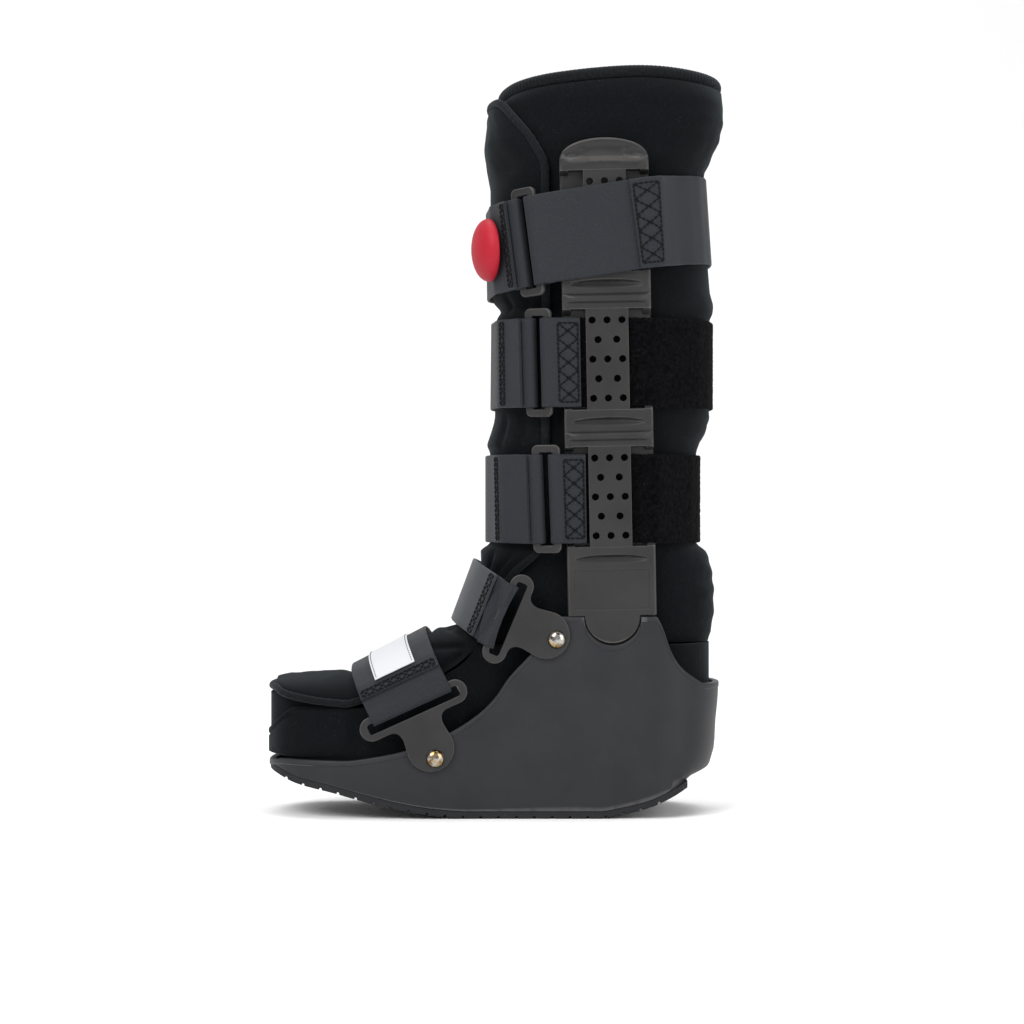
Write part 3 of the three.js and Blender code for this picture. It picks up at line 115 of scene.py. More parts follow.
def straight(rows, key, column=1):
    """Reads a table along straight lines between its rows."""
    key, i = row_after(rows, key)
    share = (key - rows[i - 1][0]) / (rows[i][0] - rows[i - 1][0])
    return rows[i - 1][column] + share * (rows[i][column] - rows[i - 1][column])


def follow(rows, key, column=1):
    """Reads a table along a soft line through its rows."""
    key, i = row_after(rows, key)

    def slope(k):
        return (rows[k + 1][column] - rows[k][column]) / (rows[k + 1][0] - rows[k][0])

    def tangent(k):
        if k in (0, len(rows) - 1):
            return slope(min(k, len(rows) - 2))
        before, after = slope(k - 1), slope(k)
        return 0.0 if before * after <= 0 else 2 * before * after / (before + after)

    width = rows[i][0] - rows[i - 1][0]
    t = (key - rows[i - 1][0]) / width
    start, end = rows[i - 1][column], rows[i][column]
    leave, arrive = tangent(i - 1) * width, tangent(i) * width
    bend = (1 + 2 * t) * (1 - t) ** 2 * start + t * (1 - t) ** 2 * leave
    return bend + t * t * (3 - 2 * t) * end + t * t * (t - 1) * arrive


print("shift of the middle, mm:", round(MIDDLE_SHIFT, 3))

# %% [markdown]
# ## Shared effects as node groups
#
# Grain, edge wear with its painted highlights and painted shade, weave, knit and lint are each wanted by
# several materials, so each is one node group with named inputs. A group gives only masks and heights that
# change over the surface. The shader and its fixed numbers stay in the material.

# %% Helpers for node trees
GROUPS = {}


def feed(tree, socket, value):
    """Links a socket to another one, or gives it a number or colour."""
    if isinstance(value, bpy.types.NodeSocket):
        tree.links.new(value, socket)
    elif value is not None:
        socket.default_value = value


def open_group(name, inputs, outputs):
    tree = bpy.data.node_groups.new(name, "ShaderNodeTree")
    for label, kind, value in inputs:
        socket = tree.interface.new_socket(label, in_out="INPUT", socket_type=kind)
        if value is not None:
            socket.default_value = value
    for label in outputs:
        tree.interface.new_socket(label, in_out="OUTPUT", socket_type="NodeSocketFloat")
    GROUPS[name] = tree
    return tree, tree.nodes.new("NodeGroupInput").outputs, tree.nodes.new("NodeGroupOutput").inputs


def calc(tree, operation, first, second=None):
    made = tree.nodes.new("ShaderNodeMath")
    made.operation = operation
    feed(tree, made.inputs[0], first)
    feed(tree, made.inputs[1], second)
    return made.outputs[0]


def times(tree, first, second):
    return calc(tree, "MULTIPLY", first, second)


def ramp_between(tree, value, low, high):
    made = tree.nodes.new("ShaderNodeMapRange")
    for label, given in (("From Min", low), ("From Max", high), ("Value", value)):
        feed(tree, made.inputs[label], given)
    return made.outputs["Result"]


def object_place(tree):
    return tree.nodes.new("ShaderNodeTexCoord").outputs["Object"]


def noise_of(tree, vector, scale, detail=3.0):
    made = tree.nodes.new("ShaderNodeTexNoise")
    for label, given in (("Detail", detail), ("Vector", vector), ("Scale", scale)):
        feed(tree, made.inputs[label], given)
    return made.outputs["Fac"]


def threads_passed(tree, given):
    """Threads passed along the cloth, and threads passed across it."""
    parts = tree.nodes.new("ShaderNodeSeparateXYZ")
    tree.links.new(given["Place"], parts.inputs[0])
    return [calc(tree, "DIVIDE", parts.outputs[i], given["Pitch"]) for i in (0, 1)]


print("helpers ready")

# %% Moulded grain: fine texture of an injection mould, and slow mottling


def build_grain():
    tree, given, result = open_group(
        "Moulded grain", [("Scale", "NodeSocketFloat", 1800.0)], ["Height", "Mottle"])
    place = object_place(tree)
    tree.links.new(noise_of(tree, place, given["Scale"], 2.0), result["Height"])
    slow = noise_of(tree, place, 45.0, 4.0)
    tree.links.new(ramp_between(tree, slow, 0.3, 0.7), result["Mottle"])


build_grain()
print("group:", "Moulded grain")

# %% Edge wear and painted light: rubbed edges, also lightened as a painted highlight, and painted shade in hollows, from how sharply the surface bends


def build_edge_wear_and_painted_light():
    tree, given, result = open_group(
        "Edge wear and painted light", [("Start", "NodeSocketFloat", 0.52), ("Full", "NodeSocketFloat", 0.62)],
        ["Mask", "Painted shade"])
    sharpness = tree.nodes.new("ShaderNodeNewGeometry").outputs["Pointiness"]
    patchy = ramp_between(tree, noise_of(tree, object_place(tree), 160.0), 0.0, 0.55)
    # Paler sharp edges: rubbed wear, and also a painted highlight along rims and ridges.
    rubbed_and_highlit = times(tree, ramp_between(tree, sharpness, given["Start"], given["Full"]), 0.7)
    tree.links.new(times(tree, rubbed_and_highlit, patchy), result["Mask"])
    # Painted shade: concave places are darkened as if less light reached them.
    painted_shade = calc(tree, "SUBTRACT", 1.0, ramp_between(tree, sharpness, 0.43, 0.488))
    tree.links.new(painted_shade, result["Painted shade"])


build_edge_wear_and_painted_light()
print("group:", "Edge wear and painted light")

# %% Woven threads: diagonal twill ribs of webbing, with the weft crossing them


def build_weave():
    tree, given, result = open_group(
        "Woven threads",
        [("Place", "NodeSocketVector", None), ("Pitch", "NodeSocketFloat", 1.3)], ["Height", "Shade"])
    run, rise = threads_passed(tree, given)
    twill = calc(tree, "SINE", times(tree, calc(tree, "ADD", run, rise), 2 * math.pi))
    weft = calc(tree, "SINE", times(tree, calc(tree, "SUBTRACT", run, rise), 4 * math.pi))
    height = ramp_between(tree, calc(tree, "ADD", twill, times(tree, weft, 0.35)), -1.35, 1.35)
    tree.links.new(height, result["Height"])
    tree.links.new(times(tree, height, noise_of(tree, given["Place"], 0.9, 2.0)), result["Shade"])


build_weave()
print("group:", "Woven threads")

# %% Knitted wales: upright ribs of V-shaped loops, as on lined knit cloth


def build_knit():
    tree, given, result = open_group(
        "Knitted wales",
        [("Place", "NodeSocketVector", None), ("Pitch", "NodeSocketFloat", 1.2)], ["Height", "Shade"])
    run, rise = threads_passed(tree, given)
    wale = calc(tree, "ABSOLUTE", calc(tree, "SINE", times(tree, run, math.pi)))
    loop = calc(tree, "ADD", rise, times(tree, wale, 0.5))
    course = calc(tree, "ABSOLUTE", calc(tree, "SINE", times(tree, loop, math.pi)))
    height = times(tree, wale, calc(tree, "ADD", times(tree, course, 0.4), 0.6))
    tree.links.new(height, result["Height"])
    tufts = ramp_between(tree, noise_of(tree, given["Place"], 0.5), 0.35, 0.75)
    tree.links.new(times(tree, height, tufts), result["Shade"])


build_knit()
print("group:", "Knitted wales")

# %% Lint: a few pale specks and fibres that black cloth picks up


def build_lint():
    tree, given, result = open_group(
        "Lint", [("Scale", "NodeSocketFloat", 600.0), ("Amount", "NodeSocketFloat", 0.25)], ["Mask"])
    place = object_place(tree)
    cells = tree.nodes.new("ShaderNodeTexVoronoi")
    feed(tree, cells.inputs["Vector"], place)
    feed(tree, cells.inputs["Scale"], given["Scale"])
    speck = ramp_between(tree, cells.outputs["Distance"], 0.16, 0.08)
    patch = ramp_between(tree, noise_of(tree, place, 90.0, 2.0), 0.5, 0.7)
    tree.links.new(times(tree, times(tree, speck, patch), given["Amount"]), result["Mask"])


build_lint()
print("groups:", sorted(GROUPS))

# %% [markdown]
# ## Materials
#
# Every finish starts from one Principled shader. Its colour is a blend of two near colours, driven by the
# masks of the groups, because a single flat colour reads as plastic paint even on cloth. Small relief is a
# bump, in metres of depth, and sheen lifts the edges of the cloths as real nap does.

# %% Helpers for materials


def open_material(name, roughness, metallic=0.0, specular=0.5, sheen=0.0, sheen_roughness=0.5):
    material = bpy.data.materials.new(name)
    material.use_nodes = True
    tree = material.node_tree
    shader = tree.nodes["Principled BSDF"]
    shader.inputs["Roughness"].default_value = roughness
    shader.inputs["Metallic"].default_value = metallic
    shader.inputs["Specular IOR Level"].default_value = specular
    shader.inputs["Sheen Weight"].default_value = sheen
    shader.inputs["Sheen Roughness"].default_value = sheen_roughness
    return material, tree, shader


def use_group(tree, name, **values):
    made = tree.nodes.new("ShaderNodeGroup")
    made.node_tree = GROUPS[name]
    for label, value in values.items():
        feed(tree, made.inputs[label], value)
    return made.outputs


def mix_colours(tree, mask, first, second):
    made = tree.nodes.new("ShaderNodeMix")
    made.data_type = "RGBA"
    tree.links.new(mask, made.inputs[0])
    for socket, value in ((made.inputs[6], first), (made.inputs[7], second)):
        feed(tree, socket, (*value, 1.0) if isinstance(value, tuple) else value)
    return made.outputs[2]


def relief(tree, shader, height, depth, strength=1.0):
    made = tree.nodes.new("ShaderNodeBump")
    made.inputs["Strength"].default_value = strength
    made.inputs["Distance"].default_value = depth
    tree.links.new(height, made.inputs["Height"])
    tree.links.new(made.outputs["Normal"], shader.inputs["Normal"])


def cloth_place(tree):
    made = tree.nodes.new("ShaderNodeUVMap")
    made.uv_map = "cloth"
    return made.outputs["UV"]


def dusted(tree, body, lint):
    """Lint over a colour; lint is its scale, its amount and its own colour."""
    specks = use_group(tree, "Lint", Scale=lint[0], Amount=lint[1])["Mask"]
    return mix_colours(tree, specks, body, lint[2])


def textured(name, group, pitch, dark, light, bump, lint=None, tint=None, **surface):
    """Two near colours blended by the second output of a group, whose first output is the relief."""
    material, tree, shader = open_material(name, **surface)
    if tint:
        shader.inputs["Sheen Tint"].default_value = (*tint, 1.0)
    if group == "Moulded grain":
        height, mask = use_group(tree, group, Scale=pitch)
    else:
        height, mask = use_group(tree, group, Place=cloth_place(tree), Pitch=pitch)
    body = mix_colours(tree, mask, dark, light)
    tree.links.new(dusted(tree, body, lint) if lint else body, shader.inputs["Base Color"])
    relief(tree, shader, height, *bump)
    return material


print("material helpers ready")

# %% Shell and strut plastic: charcoal, satin, paler at sharp edges as wear and painted highlight, and painted shade near black in hollows
# Near black colour of the painted shade in hollows.
PAINTED_SHADE_BLACK = (0.002, 0.002, 0.002)


def moulded_plastic(name, dark, light, edge, roughness):
    material, tree, shader = open_material(name, roughness, specular=0.24)
    grain = use_group(tree, "Moulded grain", Scale=1500.0)
    wear = use_group(tree, "Edge wear and painted light", Start=0.517, Full=0.58)
    body = mix_colours(tree, grain["Mottle"], dark, light)
    # Paler edge colour: rubbed wear and a painted highlight at once; then painted shade in hollows.
    worn_and_highlit = mix_colours(tree, wear["Mask"], body, edge)
    shaded = mix_colours(tree, times(tree, wear["Painted shade"], 0.85), worn_and_highlit, PAINTED_SHADE_BLACK)
    tree.links.new(shaded, shader.inputs["Base Color"])
    rough = times(tree, ramp_between(tree, grain["Mottle"], -2.0, 3.0), 0.2)
    tree.links.new(calc(tree, "ADD", rough, roughness - 0.1), shader.inputs["Roughness"])
    relief(tree, shader, grain["Height"], 0.00008, 0.55)
    return material


# The third colour of each is the paler edge, rubbed wear and a painted highlight at once.
SHELL_PLASTIC = moulded_plastic("Rocker plastic", (0.0135, 0.014, 0.0165), (0.018, 0.0185, 0.021),
                                (0.075, 0.075, 0.078), 0.5)
STRUT_PLASTIC = moulded_plastic("Strut plastic", (0.0185, 0.0182, 0.0188), (0.025, 0.0245, 0.025),
                                (0.15, 0.138, 0.125), 0.4)
print("plastics:", SHELL_PLASTIC.name, STRUT_PLASTIC.name)

# %% Sole rubber, as dark as the shell but matt and a little dusty, and the red rubber of the pump
SOLE_RUBBER = textured(
    "Sole rubber", "Moulded grain", 900.0, (0.0125, 0.013, 0.015), (0.017, 0.0175, 0.0195), (0.0002, 0.6),
    lint=(420.0, 0.4, (0.2, 0.19, 0.18)), roughness=0.8, specular=0.24)
PUMP_RUBBER = textured(
    "Pump rubber", "Moulded grain", 1300.0, (0.3, 0.0045, 0.014), (0.36, 0.007, 0.02), (0.0001, 0.4),
    roughness=0.55, specular=0.25)
print("rubbers:", SOLE_RUBBER.name, PUMP_RUBBER.name)

# %% Liner knit and bound edges: near black with a cool tone, ribs of knit, soft sheen
KNIT = {"lint": (700.0, 0.16, (0.25, 0.27, 0.28)), "tint": (0.55, 0.66, 0.72), "roughness": 0.92,
        "specular": 0.12, "sheen_roughness": 0.4}
LINER_KNIT = textured("Liner knit", "Knitted wales", 0.9, (0.0012, 0.0017, 0.0024),
                      (0.0034, 0.0046, 0.0062), (0.00009, 0.8), sheen=0.09, **KNIT)
BOUND_EDGE = textured("Bound edge", "Knitted wales", 0.8, (0.0034, 0.0042, 0.005),
                      (0.0115, 0.013, 0.0145), (0.00016, 0.8), sheen=0.12, **KNIT)
print("cloths:", LINER_KNIT.name, BOUND_EDGE.name)

# %% Webbing of blue-grey polyester twill with a dull shine, and the finer weave of the blank label
TWILL = {"lint": (650.0, 0.12, (0.3, 0.32, 0.34)), "specular": 0.2, "sheen": 0.05}
WEBBING = textured("Strap webbing", "Woven threads", 1.25, (0.0085, 0.0098, 0.013),
                   (0.027, 0.0305, 0.039), (0.00018, 0.8), roughness=0.6, **TWILL)
PALE_WEBBING = textured("Ankle webbing", "Woven threads", 1.25, (0.03, 0.032, 0.037),
                        (0.07, 0.073, 0.083), (0.00018, 0.8), roughness=0.5, **TWILL)
LABEL_CLOTH = textured("Blank label", "Woven threads", 0.5, (0.5, 0.51, 0.53), (0.62, 0.63, 0.65),
                       (0.00005, 0.5), roughness=0.55, specular=0.4)
print("webbing:", WEBBING.name, PALE_WEBBING.name, LABEL_CLOTH.name)

# %% Loop pile: the fuzzy side of the fastening band, which takes all light


def loop_pile():
    material, tree, shader = open_material("Loop pile", 1.0, specular=0.03, sheen=0.03, sheen_roughness=0.6)
    shader.inputs["Sheen Tint"].default_value = (0.5, 0.5, 0.52, 1.0)
    place = object_place(tree)
    clumps = ramp_between(tree, noise_of(tree, place, 420.0, 4.0), 0.35, 0.75)
    tufts = times(tree, noise_of(tree, place, 1500.0, 6.0), clumps)
    body = mix_colours(tree, tufts, (0.0005, 0.0005, 0.0007), (0.007, 0.007, 0.0085))
    tree.links.new(dusted(tree, body, (800.0, 0.3, (0.2, 0.21, 0.22))), shader.inputs["Base Color"])
    relief(tree, shader, tufts, 0.0009)
    return material


LOOP_PILE = loop_pile()
print("pile:", LOOP_PILE.name)

# %% Black thread, and rivet brass with worn plating and dark patches of painted reflection


def thread_finish():
    material, tree, shader = open_material("Black thread", 0.6, specular=0.12)
    twist = noise_of(tree, object_place(tree), 2500.0, 2.0)
    tree.links.new(mix_colours(tree, twist, (0.0008, 0.0008, 0.001), (0.006, 0.0065, 0.0075)),
                   shader.inputs["Base Color"])
    return material


def rivet_metal():
    material, tree, shader = open_material("Rivet brass", 0.2, metallic=1.0)
    grain = use_group(tree, "Moulded grain", Scale=2200.0)
    place = object_place(tree)
    bare = ramp_between(tree, noise_of(tree, place, 190.0, 2.0), 0.42, 0.6)
    # Dark brown patches are a painted reflection, laid by noise over the dome.
    painted_dark_reflection = ramp_between(tree, noise_of(tree, place, 330.0), 0.5, 0.68)
    plated = mix_colours(tree, bare, (0.36, 0.23, 0.08), (0.38, 0.37, 0.35))
    tree.links.new(mix_colours(tree, painted_dark_reflection, plated, (0.05, 0.035, 0.022)), shader.inputs["Base Color"])
    relief(tree, shader, grain["Height"], 0.00002, 0.3)
    return material


THREAD = thread_finish()
RIVET_BRASS = rivet_metal()
print("materials:", len(bpy.data.materials))

# %% [markdown]
# ## Helpers for pieces
#
# Most pieces are skins over rows of points: each row is a ring around the piece, and the rows follow its
# length. The same two numbers that place a point, length and width in millimetres, become its cloth
# coordinates, so weave and knit keep their real scale wherever the piece bends.

# %% Make, map and hand over a piece


def settle(piece):
    shown = piece.evaluated_get(bpy.context.evaluated_depsgraph_get())
    mesh = bpy.data.meshes.new_from_object(shown)
    old = piece.data
    piece.modifiers.clear()
    piece.data = mesh
    bpy.data.meshes.remove(old)
    return piece


def shade(piece, sharp_degrees=None):
    piece.data.shade_smooth()
    if sharp_degrees is not None:
        piece.data.set_sharp_from_angle(angle=math.radians(sharp_degrees))


def hand_over(piece, material, slot, *nodes):
    piece.data.materials.clear()
    piece.data.materials.append(material)
    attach(piece, "root")
    if nodes:
        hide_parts(*nodes)
    print(piece.name, "faces:", len(piece.data.polygons))
    return piece


def mesh_piece(name, points, faces):
    mesh = bpy.data.meshes.new(name)
    mesh.from_pydata([Vector(p) * MM for p in points], [], faces)
    mesh.validate()
    piece = bpy.data.objects.new(name, mesh)
    bpy.context.scene.collection.objects.link(piece)
    return piece


def reshaped(piece, change):
    """Runs a change on the mesh of a piece."""
    work = bmesh.new()
    work.from_mesh(piece.data)
    change(work)
    work.to_mesh(piece.data)
    work.free()
    return piece


def outward(piece):
    return reshaped(piece, lambda work: bmesh.ops.recalc_face_normals(work, faces=work.faces))


def cloth_map(piece, measure):
    """Gives each corner its place on the cloth, in millimetres, from where its point lies."""
    layer = piece.data.uv_layers.new(name="cloth")
    vertices = piece.data.vertices
    for face in piece.data.polygons:
        places = [measure(vertices[v].co / MM) for v in face.vertices]
        farthest = max(p[0] for p in places)
        for loop, (run, rise, turn) in zip(face.loop_indices, places):
            if turn and farthest - run > turn / 2:
                run += turn
            layer.data[loop].uv = (run, rise)


print("materials to give out:", len(bpy.data.materials))

# %% Skins over rings, and lists without doubled places


def between_rings(rings, count, base=0, closed_run=False):
    """Quads between closed rings of count points; closed_run also joins the last ring to the first."""
    faces = []
    for i in range(rings if closed_run else rings - 1):
        here, there = base + i * count, base + (i + 1) % rings * count
        for j in range(count):
            after = (j + 1) % count
            faces.append((here + j, here + after, there + after, there + j))
    return faces


def skin(name, rings, closed_run=False):
    """Skin over closed rings of points in millimetres, capped at both ends unless the run is closed."""
    count = len(rings[0])
    faces = between_rings(len(rings), count, 0, closed_run)
    if not closed_run:
        faces.append(tuple(reversed(range(count))))
        faces.append(tuple(range((len(rings) - 1) * count, len(rings) * count)))
    return outward(mesh_piece(name, [p for ring in rings for p in ring], faces))


def plan_solid(name, rings):
    """Skin over rings that follow the plan, closed at both ends by strips from the near to the far side."""
    count = len(rings[0])
    faces = between_rings(len(rings), count)
    for start in (0, (len(rings) - 1) * count):
        for j in range(count // 2):
            corners = (j, j + 1, (count - j - 1) % count, (count - j) % count)
            faces.append(tuple(dict.fromkeys(start + k for k in corners)))
    return outward(mesh_piece(name, [p for ring in rings for p in ring], faces))


def spaced(values, gap):
    """Sorted values without those that follow the one before by less than the gap."""
    ordered = sorted(values)
    return [x for i, x in enumerate(ordered) if i == 0 or x - ordered[i - 1] > gap]


def distinct(outline, gap):
    """A closed outline without points that lie on the point before them."""
    return [p for i, p in enumerate(outline) if (Vector(p) - Vector(outline[i - 1])).length > gap]


def soften(piece, width, segments, degrees):
    modifier = piece.modifiers.new("round_edges", "BEVEL")
    modifier.width = width * MM
    modifier.segments = segments
    modifier.limit_method = "ANGLE"
    modifier.angle_limit = math.radians(degrees)
    modifier.use_clamp_overlap = True
    return settle(piece)


print("piece helpers ready")

# %% [markdown]
# ## Rocker shell
#
# The shell is one moulded tub: thick rocker under the foot, low walls at the toes, high walls at the ankle
# and a round cup behind the heel. A boolean of two extruded outlines would leave long thin faces that shade
# badly. Here columns stand around the plan instead, each with its own bottom and top height, so every face
# is a neat quad and the edges can be rounded.

# %% Sizes and edge tables of the shell
SHELL_HALF_WIDTH = 50.5
BALL_HALF_WIDTH = 54.0
SHELL_WALL = 3.5
FOOTBED = 28.0
OUTSOLE_THICKNESS = 4.0
GAP = 0.35
BALL = along(0.268)
FLARE_START = along(0.47)
HEEL_START = along(0.848)
HEEL_TIP = along(0.998)
STRUT_ALONG = along(0.759)
SHOULDER = up(0.2685)
NOTCH_RADIUS = 16.4
SHELL_LIP = 0.3
SHELL_LIP_HEIGHT = 3.4
TOE_POWER = 2.7
HEEL_POWER = 2.2

SOLE_LINE = [
    [0.0, 0.0645], [0.022, 0.0594], [0.079, 0.0455], [0.159, 0.0345], [0.219, 0.0245], [0.311, 0.0105],
    [0.376, 0.0036], [0.46, 0.0], [0.73, 0.0], [0.782, 0.0055], [0.832, 0.0132], [0.881, 0.0262],
    [0.92, 0.0405], [0.953, 0.0555],
]
HEEL_LINE = [
    [0.054, 0.953], [0.064, 0.976], [0.078, 0.984], [0.091, 0.989], [0.1225, 0.9915], [0.154, 0.9965],
    [0.178, 0.998],
]
SHELL_EDGE_FRONT = [
    [0.0105, 0.0731], [0.055, 0.078], [0.18, 0.0773], [0.26, 0.0835], [0.311, 0.0898], [0.412, 0.1151],
    [0.468, 0.1371], [0.508, 0.1615], [0.535, 0.1861], [0.583, 0.2181], [0.617, 0.2425], [0.635, 0.26],
    [0.646, 0.2685],
]
SHELL_EDGE_BACK = [
    [0.852, 0.2685], [0.856, 0.2665], [0.87, 0.2473], [0.884, 0.2227], [0.9045, 0.2026], [0.93, 0.1893],
    [0.963, 0.1782], [1.01, 0.1773],
]


print("rows of the sole line:", len(SOLE_LINE))

# %% Plan and heights of the shell


def share_along(x):
    return (x - MIDDLE_SHIFT) / BOOT_LENGTH + 0.5


def plan_half(x, inset=0.0, toe_tip=along(TOE_TIP), waist=0.0):
    straight_half = SHELL_HALF_WIDTH - inset - waist
    if x < BALL:
        reach = max(0.0, (BALL - x) / (BALL - toe_tip - inset))
        return (BALL_HALF_WIDTH - inset) * max(0.0, 1 - reach ** TOE_POWER) ** (1 / TOE_POWER)
    if x < FLARE_START:
        share = (x - BALL) / (FLARE_START - BALL)
        return BALL_HALF_WIDTH - inset + share * (straight_half - BALL_HALF_WIDTH + inset)
    reach = max(0.0, (x - HEEL_START) / (HEEL_TIP - inset - HEEL_START))
    return straight_half * max(0.0, 1 - reach ** HEEL_POWER) ** (1 / HEEL_POWER)


def plan_places(inset=0.0, toe_tip=along(TOE_TIP), extra=(), step=3.0):
    toe, heel = toe_tip + inset, HEEL_TIP - inset
    places = set(extra)
    for i in range(41):
        turn = i / 40 * math.pi / 2
        places.add(BALL - (BALL - toe) * math.cos(turn) ** (2 / TOE_POWER) if i < 40 else BALL)
        places.add(HEEL_START + (heel - HEEL_START) * math.sin(turn) ** (2 / HEEL_POWER))
    places.update(BALL + step * i for i in range(1, int((HEEL_START - BALL) / step)))
    return spaced(places, 0.004)


def plan_loop(places, inset=0.0, toe_tip=along(TOE_TIP), waist=0.0):
    """Closed plan outline as places (x, y), near side first, then the far side back to the toe."""
    near = [(x, -plan_half(x, inset, toe_tip, waist)) for x in places]
    return near + [(x, -y) for x, y in reversed(near[1:-1])]


def plan_normals(loop):
    """The way out at each place of a plan outline."""
    normals = []
    for k, (x, y) in enumerate(loop):
        before, after = loop[k - 1], loop[(k + 1) % len(loop)]
        n = Vector((after[1] - before[1], before[0] - after[0], 0)).normalized()
        normals.append(n if n.x * (x - 5) + n.y * y >= 0 else -n)
    return normals


def notch_bottom(x):
    inside = NOTCH_RADIUS ** 2 - (x - STRUT_ALONG) ** 2
    return SHOULDER - math.sqrt(inside) if inside > 0 else SHOULDER


def shell_top(x):
    share = share_along(x)
    if share < 0.646:
        return up(follow(SHELL_EDGE_FRONT, share))
    if share > 0.852:
        return up(follow(SHELL_EDGE_BACK, share))
    return notch_bottom(x)


def heel_pull(z):
    """How far the heel reaches at a height, as a share of its full reach."""
    return (follow(HEEL_LINE, z / BOOT_HEIGHT) - 0.848) / (0.998 - 0.848)


def pulled(x, z):
    return HEEL_START + (x - HEEL_START) * heel_pull(z) if x > HEEL_START else x


def sole_height(x):
    return up(follow(SOLE_LINE, share_along(x)))


print("shell plan points:", len(plan_loop(plan_places())))

# %% Columns of the shell, outside, over the rim and down the inside


def build_shell():
    notch = [STRUT_ALONG - NOTCH_RADIUS * math.cos(i / 30 * math.pi) for i in range(31)]
    corners = [along(s) for s in (0.635, 0.646, 0.852, 0.856)]
    loop = plan_loop(plan_places(extra=[*notch, *corners], step=2.4))
    normals = plan_normals(loop)

    def ring_at(outset, height):
        """A ring moved out from the plan, at a height that depends on the place."""
        ring = []
        for (x, y), n in zip(loop, normals):
            z = height(x)
            ring.append((pulled(x, z) + n.x * outset, y + n.y * outset, z))
        return ring

    def outer_wall(x, share):
        low = sole_height(pulled(x, 0)) + OUTSOLE_THICKNESS + GAP
        return low + (shell_top(x) - SHELL_LIP_HEIGHT - low) * share

    def inner_wall(x, share):
        top = shell_top(x) - 0.9
        return top + (min(FOOTBED, top - 1.0) - top) * share

    rings = [ring_at(0.0, lambda x: outer_wall(x, share))
             for share in (0.0, 0.03, 0.1, 0.2, 0.32, 0.45, 0.58, 0.7, 0.8, 0.88, 0.94, 1.0)]
    over_rim = [(SHELL_LIP, SHELL_LIP_HEIGHT - 0.35), (SHELL_LIP, 0.9), (SHELL_LIP - 0.25, 0.25),
                (-0.65, 0.0), (-SHELL_WALL + 0.8, 0.0), (-SHELL_WALL + 0.2, 0.25), (-SHELL_WALL, 0.9)]
    rings += [ring_at(outset, lambda x: shell_top(x) - drop) for outset, drop in over_rim]
    rings += [ring_at(-SHELL_WALL, lambda x: inner_wall(x, share)) for share in (0.35, 0.7, 1.0)]
    return plan_solid("rocker_shell", rings)


shell = soften(build_shell(), 1.0, 3, 40)
shade(shell, 38)
hand_over(shell, SHELL_PLASTIC, "shell", "shell")

# %% [markdown]
# ## Outsole
#
# A thin rubber sole is glued under the rocker. Cross grooves cut its lower side at an even pitch, and from
# the side each shows as a small notch. The same columns are used, with a pair of columns at each groove wall.

# %% Grooved sole
TREAD_PITCH = 10.2
GROOVE_WIDTH = 1.3
GROOVE_DEPTH = 1.2
SOLE_CHAMFER = 0.6


def build_outsole():
    first, last = along(0.022) - 1.2, along(0.92)
    marks = [first + TREAD_PITCH * i for i in range(1, int((last - first) / TREAD_PITCH))]
    half, lean = GROOVE_WIDTH / 2, 0.25
    walls = [m + side * (half + extra) for m in marks for side in (-1, 1) for extra in (0.0, lean)]
    places = [x for x in plan_places(GAP, extra=walls, step=4.0) if x <= last] + [last]
    count = len(places)
    points = []
    for side in (1, -1):
        for kind in ("edge", "under", "over"):
            tuck = SOLE_CHAMFER if kind == "under" else 0.0
            for x in places:
                y = -plan_half(x, GAP)
                ground = sole_height(x)
                if kind != "over" and any(abs(x - m) <= half + 0.01 for m in marks):
                    ground += GROOVE_DEPTH
                z = ground + {"edge": SOLE_CHAMFER, "under": 0.0, "over": OUTSOLE_THICKNESS}[kind]
                points.append((x, side * (y + tuck) if abs(y) > tuck else 0.0, max(z, 0.0)))
    around = [k * count for k in (1, 0, 2, 5, 3, 4)]
    faces = [(a + j, a + j + 1, b + j + 1, b + j)
             for j in range(count - 1) for a, b in zip(around, around[1:] + around[:1])]
    faces.append(tuple(a + count - 1 for a in around))

    def weld(work):
        bmesh.ops.remove_doubles(work, verts=work.verts, dist=0.00001)
        bmesh.ops.dissolve_degenerate(work, edges=work.edges, dist=0.00001)

    return outward(reshaped(mesh_piece("grooved_sole", points, faces), weld))


outsole = build_outsole()
shade(outsole, 30)
hand_over(outsole, SOLE_RUBBER, "rubber", "outsole")

# %% [markdown]
# ## Side struts
#
# Each strut is a moulded upright: an arched top with a raised rim, three strap windows with a drilled bridge
# over each, a ridge above and a dent below every window, and a round tongue that sits in the shell's notch.
# Its outer face is a height over its own flat plane, so it is made as a relief: grid lines lie close together
# where an edge is, and every grid point is lifted by the height there. Bridges stand free over their
# channel, so they are pieces of their own, joined to the strut afterwards.

# %% Sizes of the strut and its plane
STRUT_WIDTH = 50.5
STRUT_THICKNESS = 8.5
STRUT_PLATE = 3.0
STRUT_FLARE = math.radians(3.5)
STRUT_LEAN = math.radians(1.2)
STRUT_FOOT = up(0.248)
STRUT_TOP = up(0.9014) - STRUT_FOOT
ARCH_RISE = 13.6
WINDOW_HEIGHT = 57.0
WINDOW_MIDDLES = [up(0.79278 - 0.1819 * i) - STRUT_FOOT for i in range(3)]
BRIDGE_WIDTH = 24.2
HOLE_RADIUS = 2.0
HOLE_PITCH = 11.1
WEBBING_THICKNESS = 1.8
WEBBING_HALF = 25.4
CHANNEL = WEBBING_THICKNESS + 2 * 0.7
STRUT_SHOULDER = SHOULDER + 2 * GAP + STRUT_WIDTH / 2 * math.tan(STRUT_LEAN) - STRUT_FOOT
TONGUE_RADIUS = NOTCH_RADIUS - 2 * GAP
EAR_HALF = 20.65
STRUT_RIM = 3.4
STRUT_EDGE_RADIUS = 1.3
RIDGE_OFFSET = 6.0
